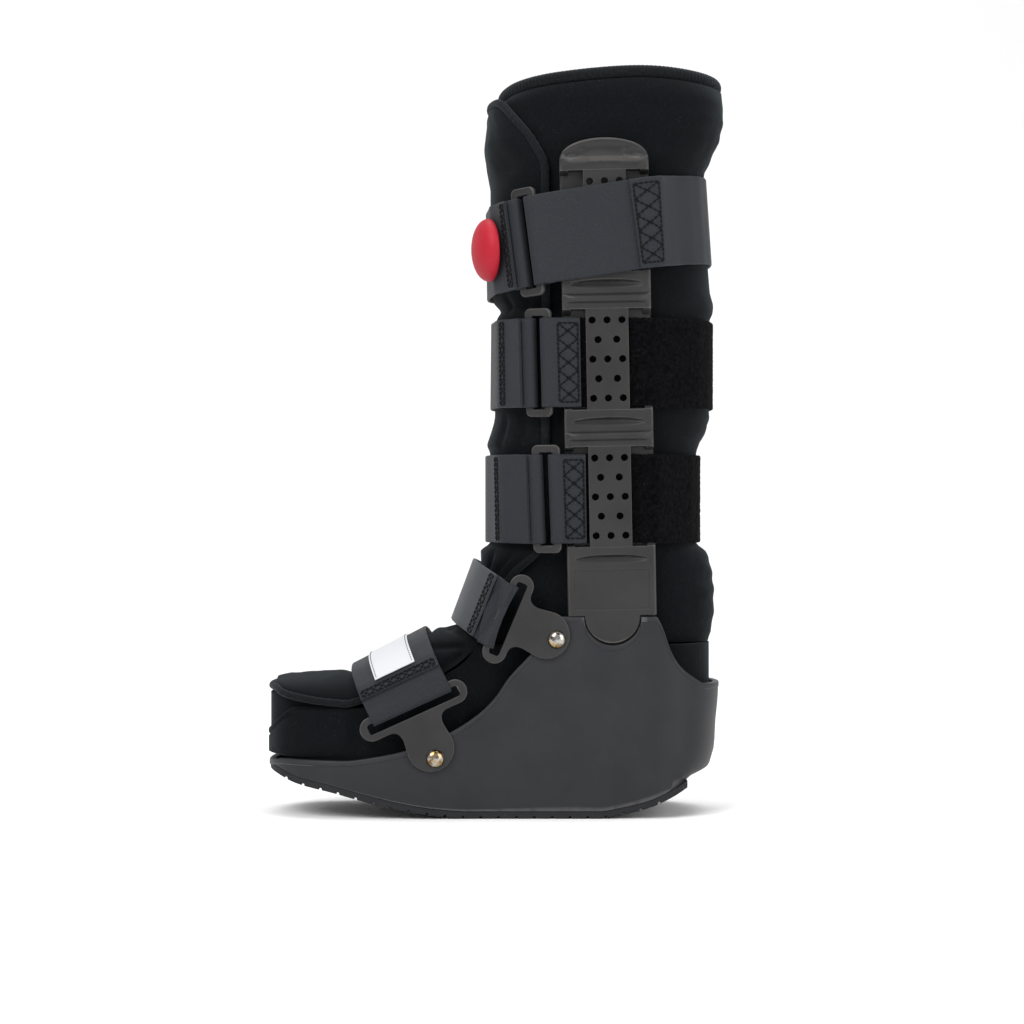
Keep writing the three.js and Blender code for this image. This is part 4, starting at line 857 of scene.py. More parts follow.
RIDGE_HALF = 2.3
RIDGE_RISE = 2.0
DENT_OFFSET = 7.5
DENT = {"width": 41.0, "height": 6.4, "depth": 2.4}
TOP_PANEL_OFFSET = 11.0
LOW_PANEL_OFFSET = 13.0


def strut_axes(sign):
    rise = Vector((-math.tan(STRUT_LEAN), sign * math.tan(STRUT_FLARE), 1)).normalized()
    across = rise.cross(Vector((0, sign, 0))).normalized()
    out = across.cross(rise)
    origin = Vector((STRUT_ALONG, sign * (SHELL_HALF_WIDTH - STRUT_THICKNESS), STRUT_FOOT))
    return across, rise, out, origin


def on_strut(sign, points):
    across, rise, out, origin = strut_axes(sign)
    return [origin + across * p[0] + rise * p[1] + out * p[2] for p in points]


print("strut height, mm:", round(STRUT_TOP, 1))

# %% Relief of the strut's outer face


def arch_top(u):
    turn = math.acos(max(-1.0, min(1.0, u / (STRUT_WIDTH / 2))))
    return STRUT_TOP - ARCH_RISE * (1 - math.sin(turn) ** 0.8)


def arch_distance(u, v):
    """Distance to the edge of the strut's face: its sides, and its arched top."""
    side = STRUT_WIDTH / 2 - abs(u)
    slope = (arch_top(u + 0.2) - arch_top(u - 0.2)) / 0.4 if side > 0.3 else 4.0
    top = (arch_top(u) - v) / math.hypot(1, slope)
    return min(side, top)


def scoop(u, v, width, height, depth):
    """A lens scooped out of the face, steep under its upper lip and shallow below."""
    reach = (2 * u / width) ** 2
    if reach >= 1:
        return 0.0
    level = 2 * v / (height * math.sqrt(1 - reach))
    return depth * math.sqrt(1 - reach) * blend_steps(-1.0, 0.45, level) * blend_steps(1.0, 0.5, level)


def window_relief(u, v, middle):
    """What one strap window adds to the face: its opening, the ridge above it and the dent below it."""
    half_window = WINDOW_HEIGHT / 2
    level = 0.0
    inside = half_window - abs(v - middle)
    if inside > -0.3:
        ear = blend_steps(EAR_HALF - 0.25, EAR_HALF + 0.25, abs(u))
        drop = (1 - ear) * blend_steps(-0.15, 0.55, inside) + ear * blend_steps(-0.2, 2.9, inside)
        level -= (STRUT_THICKNESS - STRUT_PLATE) * drop
    above = v - (middle + half_window + RIDGE_OFFSET)
    bar = max(0.0, 1 - (above / RIDGE_HALF) ** 2) * blend_steps(STRUT_WIDTH / 2 - 1.2, 18.0, abs(u))
    level += RIDGE_RISE * bar ** 0.6
    past = above - RIDGE_HALF
    level -= 0.5 * blend_steps(0.0, 0.4, past) * blend_steps(4.5, 0.4, past)
    return level - scoop(u, v - (middle - half_window - DENT_OFFSET), **DENT)


def strut_relief(u, v):
    level = STRUT_THICKNESS + sum(window_relief(u, v, middle) for middle in WINDOW_MIDDLES)
    edge = arch_distance(u, v)
    panel_low = WINDOW_MIDDLES[0] + WINDOW_HEIGHT / 2 + TOP_PANEL_OFFSET
    if v > panel_low - 1:
        level -= 0.9 * blend_steps(0.0, 0.7, min(edge - STRUT_RIM, v - panel_low))
    low_panel = STRUT_SHOULDER + 3.0
    low_top = WINDOW_MIDDLES[2] - WINDOW_HEIGHT / 2 - LOW_PANEL_OFFSET
    if low_panel < v < low_top:
        depth = min(STRUT_WIDTH / 2 - STRUT_RIM - abs(u), v - low_panel, low_top - v)
        level -= 0.5 * blend_steps(0.0, 0.8, depth)
    if edge < STRUT_EDGE_RADIUS:
        rounding = STRUT_EDGE_RADIUS ** 2 - (STRUT_EDGE_RADIUS - edge) ** 2
        level -= STRUT_EDGE_RADIUS - math.sqrt(max(0.0, rounding))
    return level


print("relief at the middle of a window:", round(strut_relief(0, WINDOW_MIDDLES[0]), 2))

# %% Grid lines of the strut, close together at its edges


def close_lines(low, high, step, marks, near=(0.0, 0.25, 0.6, 1.1)):
    count = max(1, int((high - low) / step))
    lines = {low, high, *(low + (high - low) * i / count for i in range(count + 1))}
    for mark in marks:
        for offset in near:
            lines.update(x for x in (mark - offset, mark + offset) if low <= x <= high)
    return spaced(lines, 0.07)


def strut_lines():
    half = STRUT_WIDTH / 2
    rim = [s * (half - inset) for s in (-1, 1) for inset in (0.0, STRUT_RIM, STRUT_RIM + 0.7)]
    tongue = [TONGUE_RADIUS * math.cos(i / 16 * math.pi) for i in range(17)]
    across = close_lines(-half, half, 1.6, [*rim, EAR_HALF, -EAR_HALF])
    across = spaced({round(x, 4) for x in [*across, *tongue]}, 0.05)
    marks = []
    for middle in WINDOW_MIDDLES:
        low, high = middle - WINDOW_HEIGHT / 2, middle + WINDOW_HEIGHT / 2
        marks += [low, high, high + 3.6, high + 6.0, high + 8.4, low - 4.8, low - 7.5, low - 10.2]
    panel = WINDOW_MIDDLES[0] + WINDOW_HEIGHT / 2 + TOP_PANEL_OFFSET
    marks += [panel, panel + 0.7, STRUT_SHOULDER + 3.4, WINDOW_MIDDLES[2] - WINDOW_HEIGHT / 2 - 13.4]
    return across, close_lines(STRUT_SHOULDER + 1.5, STRUT_TOP - ARCH_RISE - 3.0, 2.2, marks)


print("middles of the windows, mm:", [round(v, 1) for v in WINDOW_MIDDLES])

# %% Body of a strut, from its grid


def build_strut(sign, name):
    across, fixed = strut_lines()

    def foot(u):
        inside = TONGUE_RADIUS ** 2 - u ** 2
        return STRUT_SHOULDER - (math.sqrt(inside) if inside > 0 else 0.0)

    rows = [[(u, foot(u) + (fixed[0] - foot(u)) * s) for u in across] for s in (0.0, 0.03, 0.1, 0.3, 0.6)]
    rows += [[(u, v) for u in across] for v in fixed]
    rows += [[(u, fixed[-1] + (arch_top(u) - fixed[-1]) * s) for u in across]
             for s in (0.08, 0.2, 0.35, 0.5, 0.62, 0.72, 0.8, 0.86, 0.91, 0.95, 0.98, 1.0)]
    width, height = len(across), len(rows)
    front = [(u, v, strut_relief(u, v)) for row in rows for u, v in row]
    back = [(u, v, 0.0) for row in rows for u, v in row]
    faces = []
    shift = width * height
    for i in range(height - 1):
        for j in range(width - 1):
            a = i * width + j
            quad = (a, a + 1, a + width + 1, a + width)
            faces += [quad, tuple(shift + k for k in reversed(quad))]
    border = [*range(width), *(i * width + width - 1 for i in range(1, height)),
              *((height - 1) * width + j for j in range(width - 2, -1, -1)),
              *(i * width for i in range(height - 2, 0, -1))]
    faces += [(a, b, shift + b, shift + a) for a, b in zip(border, border[1:] + border[:1])]

    def weld(work):
        bmesh.ops.remove_doubles(work, verts=work.verts, dist=0.00002)
        flat = [f for f in work.faces if f.calc_area() < 1e-11]
        bmesh.ops.delete(work, geom=flat, context="FACES_ONLY")

    return outward(reshaped(mesh_piece(name, on_strut(sign, front + back), faces), weld))


print("grid of a strut:", [len(lines) for lines in strut_lines()])

# %% [markdown]
# ## Flat moulded parts with round edges
#
# Bridges, rings and slotted plates are flat parts cut from one thickness, with holes and rounded edges. Each
# is drawn as an outer outline and a few hole outlines. The edge runs through four small steps, which look
# like the radius of a mould, and the flat faces are filled by a constrained Delaunay net.

# %% Outlines: area, offset, and what lies inside


def signed_area(points):
    pairs = zip(points, points[1:] + points[:1])
    return sum(a[0] * b[1] - b[0] * a[1] for a, b in pairs) / 2


def offset_outline(points, amount):
    """Moves a closed outline outward for a positive amount, when it runs counterclockwise."""
    moved = []
    count = len(points)
    for i, p in enumerate(points):
        before, after = Vector(points[i - 1]), Vector(points[(i + 1) % count])
        first = (Vector(p) - before).normalized()
        second = (after - Vector(p)).normalized()
        normal = Vector((first.y + second.y, -first.x - second.x))
        length = normal.length
        normal = normal / length if length > 1e-6 else Vector((first.y, -first.x))
        stretch = 1 / max(0.5, normal.dot(Vector((first.y, -first.x))))
        moved.append(tuple(Vector(p) + normal * amount * stretch))
    return moved


def inside_outline(point, outline):
    inside = False
    for a, b in zip(outline, outline[1:] + outline[:1]):
        if (a[1] > point.y) != (b[1] > point.y):
            if point.x < (b[0] - a[0]) * (point.y - a[1]) / (b[1] - a[1]) + a[0]:
                inside = not inside
    return inside


print("area of a unit square:", signed_area([(0, 0), (1, 0), (1, 1), (0, 1)]))

# %% A flat part: rounded edges and filled faces


def flat_part(outer, holes, low, high, radius):
    """Points (u, v, height) and faces of a flat part with rounded edges."""
    loops = [outer if signed_area(outer) > 0 else outer[::-1]]
    loops += [hole[::-1] if signed_area(hole) > 0 else hole for hole in holes]
    steps = [(1.0, 0.0), (0.62, 0.08), (0.29, 0.29), (0.08, 0.62), (0.0, 1.0)]
    profile = [(-radius * a, low + radius * b) for a, b in steps]
    profile += [(-radius * a, high - radius * b) for a, b in reversed(steps)]
    points, faces, caps = [], [], ([], [])
    for loop in loops:
        count = len(loop)
        base = len(points)
        for inset, level in profile:
            points += [(*p, level) for p in offset_outline(loop, inset)]
        faces += between_rings(len(profile), count, base)
        top = base + (len(profile) - 1) * count
        for cap, start in zip(caps, (base, top)):
            cap.append(list(range(start, start + count)))
    for indices, flip in zip(caps, (True, False)):
        flat = [k for loop in indices for k in loop]
        edges, start = [], 0
        for loop in indices:
            edges += [(start + j, start + (j + 1) % len(loop)) for j in range(len(loop))]
            start += len(loop)
        outline, *openings = [[points[k][:2] for k in loop] for loop in indices]
        net = delaunay_2d_cdt([Vector(points[k][:2]) for k in flat], edges, [], 0, 1e-5)
        for face in net[2]:
            middle = sum((net[0][k] for k in face), Vector((0, 0))) / len(face)
            if inside_outline(middle, outline) and not any(inside_outline(middle, o) for o in openings):
                chosen = [flat[net[3][k][0]] for k in face]
                faces.append(tuple(reversed(chosen)) if flip else tuple(chosen))
    return points, faces


print("flat part helper ready")

# %% Round outlines, and flat parts set in place


def arc(centre, radius, start, end, steps):
    turns = [start + (end - start) * i / steps for i in range(steps + 1)]
    return [(centre[0] + radius * math.cos(t), centre[1] + radius * math.sin(t)) for t in turns]


def rounded_rectangle(half_width, half_height, radius, steps=8):
    w, h = half_width - radius, half_height - radius
    quarter = math.pi / 2
    outline = []
    for k, centre in enumerate(((w, h), (-w, h), (-w, -h), (w, -h))):
        outline += arc(centre, radius, k * quarter, (k + 1) * quarter, steps)
    return distinct(outline, 1e-4)


def even_normals(piece, degrees):
    shade(piece, degrees)
    modifier = piece.modifiers.new("even_normals", "WEIGHTED_NORMAL")
    modifier.keep_sharp = True
    modifier.weight = 60
    return settle(piece)


def moulded_flat(node, origin, axes, part, degrees):
    """A flat part laid out along three axes from its origin, and handed over for its node."""
    points, faces = part
    placed = [origin + axes[0] * u + axes[1] * v + axes[2] * w for u, v, w in points]
    piece = outward(mesh_piece(node + "_moulding", placed, faces))
    even_normals(piece, degrees)
    return hand_over(piece, STRUT_PLASTIC, "strut", node)


print("rounded rectangle points:", len(rounded_rectangle(10, 20, 3)))

# %% Bridges with their drilled holes, and the finished struts


def bridge_part(middle):
    top = middle + WINDOW_HEIGHT / 2
    first = top - (WINDOW_HEIGHT - 4 * HOLE_PITCH) / 2
    holes = []
    for row in range(5):
        for share in ((-0.35, 0, 0.35) if row % 2 == 0 else (-0.22, 0.22)):
            centre = (share * BRIDGE_WIDTH, first - row * HOLE_PITCH)
            holes.append(arc(centre, HOLE_RADIUS, 0, 2 * math.pi, 24)[:-1])
    outline = rounded_rectangle(BRIDGE_WIDTH / 2, WINDOW_HEIGHT / 2 + 0.8, 0.6, 3)
    outer = [(u, v + middle) for u, v in outline]
    return flat_part(outer, holes, STRUT_PLATE + CHANNEL, STRUT_THICKNESS - 0.05, 0.35)


def inner_tab():
    outer = STRUT_THICKNESS - SHELL_WALL - 2.5 * GAP
    outline = rounded_rectangle(STRUT_WIDTH / 2 - 1, 10.5, 2.0, 4)
    return flat_part([(u, v + STRUT_SHOULDER - 9.5) for u, v in outline], [], outer - 1.9, outer, 0.3)


def finish_strut(sign, side):
    body = build_strut(sign, f"strut_{side}_moulding")
    parts = [inner_tab()] + [bridge_part(middle) for middle in WINDOW_MIDDLES]
    extras = [outward(mesh_piece(f"part_{k}", on_strut(sign, p), f)) for k, (p, f) in enumerate(parts)]
    with bpy.context.temp_override(active_object=body, selected_editable_objects=[body, *extras]):
        bpy.ops.object.join()
    even_normals(body, 42)
    return hand_over(body, STRUT_PLASTIC, "strut", f"strut_{side}")


SIDES = [("near", -1), ("far", 1)]
for side, sign in SIDES:
    finish_strut(sign, side)

# %% [markdown]
# ## Slotted plates and rivets
#
# Four plates hold the toe and ankle straps. Each has a wide bar with a slot for the webbing and a round lobe
# with a dome rivet through the shell. The plate's outline is drawn once and placed by the same frame as in
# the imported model: down from the bar towards the rivet, out from the wall, and along the bar.

# %% Frames of the plates
PLATE_THICKNESS = 2.5
BAR_RADIUS = 7.0
PLATE_RAIL = 4.0
LOBE_RADIUS = 13.7
LOBE_REACH = 23.5
RIVET_REACH = 30.2
TOE_YAW = math.atan2(BALL_HALF_WIDTH - SHELL_HALF_WIDTH, FLARE_START - BALL)
PLATES = [
    {"name": "toe", "bar": (0.3324, 0.1447), "slope": 24.2, "length": 52.0, "yaw": TOE_YAW},
    {"name": "ankle", "bar": (0.5346, 0.2654), "slope": 67.2, "length": 40.0, "yaw": 0.0},
]


def plate_frame(plate, sign):
    slope = math.radians(plate["slope"])
    turn = Matrix.Rotation(-sign * plate["yaw"], 3, "Z")
    drop = turn @ Vector((math.sin(slope), 0, -math.cos(slope)))
    out = turn @ Vector((0, sign, 0))
    x, z = along(plate["bar"][0]), up(plate["bar"][1])
    half = SHELL_HALF_WIDTH + max(0.0, FLARE_START - x) * math.tan(plate["yaw"])
    return drop, out, Vector((x, sign * half, z)) + out * GAP


def plate_outline(length):
    half = length / 2
    waist = LOBE_RADIUS * 0.91
    neck = [(waist + 6 * (1 - i / 8) ** 2, BAR_RADIUS + 7 * (i / 8) ** 2) for i in range(9)]
    outline = arc((half, 0), BAR_RADIUS, -math.pi / 2, math.pi / 2, 16) + neck
    outline += arc((0, LOBE_REACH), LOBE_RADIUS, 0, math.pi, 36)
    outline += [(-u, v) for u, v in reversed(neck)]
    outline += arc((-half, 0), BAR_RADIUS, math.pi / 2, 1.5 * math.pi, 16)
    return distinct(outline, 1e-3)


def build_plate(plate, side, sign):
    drop, out, origin = plate_frame(plate, sign)
    length = plate["length"]
    slot_half = BAR_RADIUS - PLATE_RAIL
    slot = rounded_rectangle(length / 2 + PLATE_RAIL / 2, slot_half, slot_half * 0.5, 6)
    part = flat_part(plate_outline(length), [slot], 0.0, PLATE_THICKNESS, 0.7)
    return moulded_flat(f"{plate['name']}_plate_{side}", origin, (drop.cross(out), drop, out), part, 42)


for plate in PLATES:
    for side, sign in SIDES:
        build_plate(plate, side, sign)

# %% [markdown]
# ## Rivets and pump
#
# Both are turned shapes: a profile of distance and height, spun around an axis. The rivet is a dome of worn
# brass on a flat skirt, and the pump is a low soft dome with a rolled foot.

# %% Spun shapes


def spun(name, profile, centre, axis, steps=48):
    axis = axis.normalized()
    side = axis.cross(Vector((0.1, 0.2, 1))).normalized()
    other = axis.cross(side)
    turns = [k / steps * 2 * math.pi for k in range(steps)]
    return skin(name, [[centre + axis * height + (side * math.cos(t) + other * math.sin(t)) * radius
                        for t in turns] for radius, height in profile])


def build_rivet(plate, side, sign):
    drop, out, origin = plate_frame(plate, sign)
    seat, wall = PLATE_THICKNESS + 0.12, -SHELL_WALL
    profile = [(3.0, wall - 1.6), (3.2, wall - 1.4), (3.2, wall - 0.9), (2.3, wall - 0.9),
               (2.3, seat), (5.0, seat), (5.2, seat + 0.12), (5.15, seat + 0.4)]
    for i in range(1, 13):
        turn = i / 12 * math.pi / 2 * 0.985
        profile.append((4.85 * math.cos(turn), seat + 0.45 + 2.25 * math.sin(turn)))
    piece = spun(f"{plate['name']}_rivet_{side}_dome", profile, origin + drop * RIVET_REACH, out)
    shade(piece, 50)
    return hand_over(piece, RIVET_BRASS, "rivet", f"{plate['name']}_rivet_{side}")


for plate in PLATES:
    for side, sign in SIDES:
        build_rivet(plate, side, sign)

# %% [markdown]
# ## Padded liner and flaps
#
# Inside the struts stands a foam liner in black knit cloth: a leg tube, a foot trough, a long flap over the
# shin and another over the instep. Straps press them flat, and they swell in between. Each is a skin over
# rows of points whose outline comes from the same tables as the solids. Swelling, sewn channels and fine
# folds are then added as small moves along the surface, where no strap, strut or plate lies on it.

# %% Tables of the liner and flaps
LINER_WALL = 8.5
FLAP_LIFT = 1.35
FLAP_THICKNESS = 5.5
LEG_CLOTH_RADIUS = 56.0
FLAP_CLOTH_RADIUS = 60.0
FOOT_CLOTH_RADIUS = 45.0
LEG_SECTIONS = [
    [0.232, 0.42, 0.972], [0.2575, 0.47, 0.982], [0.29, 0.48, 0.985], [0.334, 0.505, 0.978],
    [0.355, 0.501, 0.967], [0.365, 0.52, 0.949], [0.488, 0.52, 0.949], [0.499, 0.513, 0.953],
    [0.52, 0.523, 0.967], [0.538, 0.531, 0.977], [0.665, 0.533, 0.977], [0.68, 0.54, 0.985],
    [0.692, 0.524, 0.981], [0.8, 0.521, 0.967], [0.848, 0.521, 0.96], [0.87, 0.514, 0.963],
    [0.903, 0.505, 0.982], [0.935, 0.5115, 0.99],
]
LEG_FLAP_EDGE = [
    [0.2575, 0.49], [0.3, 0.522], [0.33, 0.556], [0.355, 0.6], [0.38, 0.614], [0.69, 0.617],
    [0.835, 0.614], [0.869, 0.614], [0.903, 0.585], [0.935, 0.549], [0.954, 0.53],
]
FOOT_FLAP_STATIONS = [
    [0.0225, 0.1775, 0.0225, 0.167, 0.55], [0.036, 0.1795, 0.036, 0.165, 0.7],
    [0.06, 0.182, 0.062, 0.161, 0.8], [0.122, 0.1845, 0.129, 0.1545, 0.885],
    [0.185, 0.1868, 0.2, 0.15, 0.895], [0.275, 0.2105, 0.308, 0.172, 0.87],
    [0.357, 0.239, 0.397, 0.193, 0.825], [0.398, 0.2495, 0.452, 0.2185, 0.78],
    [0.4435, 0.2565, 0.5, 0.2565, 0.72],
]
LINER_FOOT_EDGE = [
    [0, 0.163], [0.0225, 0.163], [0.036, 0.161], [0.062, 0.157], [0.129, 0.1505], [0.21, 0.1465],
    [0.397, 0.189], [0.452, 0.213], [0.468, 0.2305], [1.1, 0.2305],
]
TOE_FOLD = [
    [-0.1, 0.1115], [0.004, 0.1125], [0.018, 0.1195], [0.034, 0.129], [0.052, 0.1388], [0.075, 0.146],
    [0.13, 0.147], [0.3, 0.148],
]
RIM_LINE = [[0.5, 0.954], [0.56, 0.966], [0.65, 0.973], [0.83, 0.9805], [1.0, 0.9745]]
LEG_STRAP_HEIGHTS = [(up(0.425), WEBBING_HALF), (up(0.6052), WEBBING_HALF), (up(0.777), 28.5)]


def strut_back(z):
    return SHELL_HALF_WIDTH - STRUT_THICKNESS + (z - STRUT_FOOT) * math.tan(STRUT_FLARE)


def leg_size(z):
    share = z / BOOT_HEIGHT
    soft = [0.5 * (follow(LEG_SECTIONS, share, c) + straight(LEG_SECTIONS, share, c)) for c in (1, 2)]
    front, back = (along(s) for s in soft)
    return (front + back) / 2, (back - front) / 2, strut_back(z) - GAP


def leg_point(z, turn, outset):
    middle, reach, half = leg_size(z)
    c, s = math.cos(turn), math.sin(turn)
    x = middle + (reach + outset) * math.copysign(abs(c) ** 0.8, c)
    y = (half + outset) * math.copysign(abs(s) ** 0.8, s)
    return Vector((x, y, z))


def flap_turn(z):
    middle, reach, _ = leg_size(z)
    edge = along(straight(LEG_FLAP_EDGE, z / BOOT_HEIGHT))
    return math.acos(min(max((middle - edge) / reach, 0.02), 0.995) ** 1.25)


def rim_height(x):
    return up(follow(RIM_LINE, share_along(x)))


def free_of_straps(z, margin=3.0):
    """1 where no leg strap presses the liner, and 0 under a strap."""
    free = 1.0
    for middle, half in LEG_STRAP_HEIGHTS:
        free *= blend_steps(half + 1.0, half + 1.0 + margin, abs(z - middle))
    return free


def fine_folds(point, scale, stretch=(1.0, 1.0, 1.0), seed=0.0):
    place = Vector((point.x * stretch[0], point.y * stretch[1], point.z * stretch[2])) * scale
    return noise.fractal(place + Vector((seed, seed, seed)), 0.9, 2.1, 3)


print("liner is free of straps at:", [z for z in range(110, 420, 10) if free_of_straps(z) > 0.9])

# %% Leg of the liner: a padded tube that swells between the straps


def top_flare(z, turn):
    """The rim stands out behind the calf."""
    return 3.8 * blend_steps(up(0.85), up(0.95), z) * max(0.0, math.cos(turn)) ** 2


def rim_point(turn, inset, lift=0.0):
    """A place on the liner's upper edge."""
    point = leg_point(up(0.955), turn, top_flare(up(0.955), turn) - inset)
    return Vector((point.x, point.y, rim_height(point.x) + lift))


def build_liner_leg():
    turns = [i / 220 * 2 * math.pi for i in range(220)]
    low, high = up(0.2325), up(0.955)
    heights = [low + (high - low) * i / 190 for i in range(191)]

    def outer(z, turn):
        free = free_of_straps(z, 9.0)
        puff = 0.9 * free * (1 - abs(math.sin(turn)) ** 6) + top_flare(z, turn)
        base = leg_point(z, turn, 0.0)
        fold = fine_folds(base, 0.045, (1, 1, 2.2), 3.1)
        press = 0.35 * math.sin(z * 0.55 + 2.0 * fine_folds(base, 0.03)) * free * max(0.0, math.cos(turn))
        near_top = blend_steps(high, high - 12, z)
        soft = (0.6 * fold * free + press) * near_top * blend_steps(low, low + 6, z)
        return leg_point(z, turn, puff + soft)

    def inner(z, turn):
        fold = 0.8 * fine_folds(leg_point(z, turn, -LINER_WALL), 0.05, (1, 1, 1.5), 8.0)
        return leg_point(z, turn, top_flare(z, turn) - LINER_WALL + fold)

    rings = [[outer(z, t) for t in turns] for z in heights]
    rings += [[rim_point(t, inset) for t in turns] for inset in (0.0, LINER_WALL)]
    rings += [[inner(z, t) for t in turns] for z in reversed(heights[::5])]
    piece = skin("liner_leg_padding", rings, closed_run=True)
    origin = leg_size(up(0.6))[0]
    whole = 2 * math.pi
    cloth_map(piece, lambda p: (math.atan2(p.y, p.x - origin) % whole * LEG_CLOTH_RADIUS, p.z,
                                whole * LEG_CLOTH_RADIUS))
    shade(piece)
    return piece


liner_leg = build_liner_leg()
hand_over(liner_leg, LINER_KNIT, "liner", "liner_leg")

# %% Foot of the liner: a padded trough that bulges over the shell's edge at the toes

TOE_TIP_LINER = along(0.0075)


def build_liner_foot():
    inset, waist = SHELL_WALL + 2.0, 4.0
    low_tip, high_tip = along(TOE_TIP) + inset, TOE_TIP_LINER
    loop = plan_loop(plan_places(inset, high_tip - inset, step=2.0), inset, high_tip - inset, waist)
    normals = plan_normals(loop)
    over_edge = up(0.078) + 2 * GAP

    def edge_height(x):
        return up(follow(LINER_FOOT_EDGE, share_along(x)))

    def fold_height(x):
        return up(follow(TOE_FOLD, share_along(x)))

    def toe_shift(x, z):
        """The trough steps forward over the shell's edge at the toes."""
        if x > BALL:
            return x
        share = (BALL - x) / (BALL - high_tip)
        step = blend_steps(over_edge - 0.4, over_edge + 1.6, z)
        return x + share * (low_tip - high_tip) * (1 - step)

    def bed(x):
        share = share_along(x)
        rise = 5.5 * (blend_steps(0.14, 0.02, share) + blend_steps(0.9, 1.0, share))
        return FOOTBED + GAP + rise

    def bulge(x, z):
        top = min(edge_height(x), fold_height(x))
        start = max(shell_top(x) + 1.0, over_edge)
        if z <= start or top - start < 4:
            return 0.0
        share = (z - start) / (top - start)
        free = blend_steps(along(0.205), along(0.185), x) + blend_steps(along(0.41), along(0.43), x) * 0.5
        sides = blend_steps(along(0.004), along(0.06), x)
        return 2.4 * math.sin(math.pi * min(1.0, share)) ** 0.7 * min(1.0, free) * sides

    def tucked(x, z):
        """The outer layer ends in a rolled fold, and the layer behind it goes on up to the flap."""
        above = z - fold_height(x)
        hem = 0.9 * math.exp(-((above + 1.3) / 1.1) ** 2) * blend_steps(along(0.0), along(0.05), x)
        groove = 0.9 * math.exp(-((above + 3.6) / 0.6) ** 2) * blend_steps(along(0.1), along(0.07), x)
        depth = 1.3 + 1.5 * blend_steps(along(0.005), along(0.04), x)
        shape = hem - groove - depth * blend_steps(-0.3, 1.1, above)
        return shape * blend_steps(along(0.215), along(0.17), x)

    def outer(x, y, normal, row):
        low, high = bed(x), edge_height(x)
        z = low + (high - low) * row
        puff = bulge(x, z)
        loose = 0.35 * fine_folds(Vector((x, y, z)), 0.06, (1, 1, 1), 5.0)
        out = normal * (puff + tucked(x, z) + loose * blend_steps(0.1, 0.6, puff))
        return Vector((toe_shift(x, z), y, z)) + out

    def lip(x, y, normal, drop, inward):
        depth = inward - min(tucked(x, edge_height(x)), 0.0)
        return Vector((x, y, edge_height(x) - 1.2 - drop)) - normal * depth

    def inner(x, y, normal, share):
        high, low = edge_height(x), bed(x) + LINER_WALL
        return Vector((x, y, high + (min(low, high - 2) - high) * share)) - normal * LINER_WALL

    steps = [(outer, i / 70) for i in range(71)]
    steps += [(lip, -0.9, 1.2), (lip, -1.2, 3.0), (lip, -1.1, 5.5), (lip, -0.3, 7.6)]
    steps += [(inner, share) for share in (0.15, 0.4, 0.7, 1.0)]
    rings = [[place(x, y, n, *values) for (x, y), n in zip(loop, normals)] for place, *values in steps]
    piece = plan_solid("liner_foot_padding", rings)
    cloth_map(piece, lambda p: (p.x + abs(p.y) * 0.4, p.z + abs(p.y) * 0.3, 0))
    shade(piece)
    return piece


liner_foot = build_liner_foot()
hand_over(liner_foot, LINER_KNIT, "liner", "liner_foot")

# %% Leg flap: a long pad with two sewn channels on each side, swollen between the straps


def build_leg_flap():
    low, high = up(0.2575), up(0.954)
    heights = [low + (high - low) * i / 200 for i in range(201)]
    widest = math.pi / 2 * 0.92
    shares = [math.sin((i / 72 * 2 - 1) * widest) / math.sin(widest) for i in range(73)]

    def swell(z, across):
        free = free_of_straps(z, 9.0)
        edge = 1 - abs(across) ** 5
        channel = sum(math.exp(-((abs(across) - seam) / 0.055) ** 2) for seam in (0.5, 0.8))
        puff = 1.1 * free * edge - 1.6 * channel * free * blend_steps(up(0.86), up(0.8), z)
        creases = fine_folds(leg_point(z, math.pi + across, 0.0), 0.03, (1.0, 1.0, 1.4), 12.0)
        dimple = math.exp(-((z - up(0.865)) / 9) ** 2 - ((abs(across) - 0.62) / 0.2) ** 2)
        waist = 3.0 * math.exp(-((z - up(0.69)) / 13) ** 2) + 1.8 * math.exp(-((z - up(0.52)) / 14) ** 2)
        waist += 1.5 * blend_steps(up(0.84), up(0.87), z) * (1 - across ** 2)
        return puff + (0.8 * creases - 2.2 * dimple) * free * edge - waist * free

    rings = []
    for z in heights:
        turn = flap_turn(z)
        ends = min(blend_steps(low, low + 5, z), blend_steps(high, high - 7, z))
        outer = []
        for s in shares:
            outset = FLAP_LIFT + FLAP_THICKNESS - 1.6 * abs(s) ** 6 + swell(z, s) * ends
            outer.append(leg_point(z, math.pi + turn * s, outset - 1.6 * (1 - ends)))
        inset = FLAP_LIFT + 0.15 + 1.2 * (1 - ends)
        rings.append(outer + [leg_point(z, math.pi + turn * s, inset) for s in reversed(shares)])
    piece = skin("leg_flap_padding", rings)
    origin = leg_size(up(0.6))[0]
    cloth_map(piece, lambda p: (math.atan2(p.y, origin - p.x) * FLAP_CLOTH_RADIUS, p.z, 0))
    shade(piece, 60)
    return piece


leg_flap = build_leg_flap()
hand_over(leg_flap, LINER_KNIT, "liner", "leg_flap")

# %% Foot flap: arches from the toes to the ankle, pressed by two straps


def toe_round(share, across):
    """The flap's front corners are cut back round the toes."""
    return 5.0 * min(1.0, abs(across)) ** 2.5 * blend_steps(0.13, 0.01, share)


def arch_point(station, across, drop):
    crest = Vector((along(station[0]), up(station[1])))
    edge = Vector((along(station[2]), up(station[3])))
    height = max((crest - edge).length - drop, GAP)
    half = station[4] * BALL_HALF_WIDTH - max(drop, 0.0)
    rise = height * (1 - abs(across) ** 2.3) ** (1 / 2.3)
    point = edge + (crest - edge).normalized() * rise
    return Vector((point.x + toe_round(station[2], across), across * half, point.y))


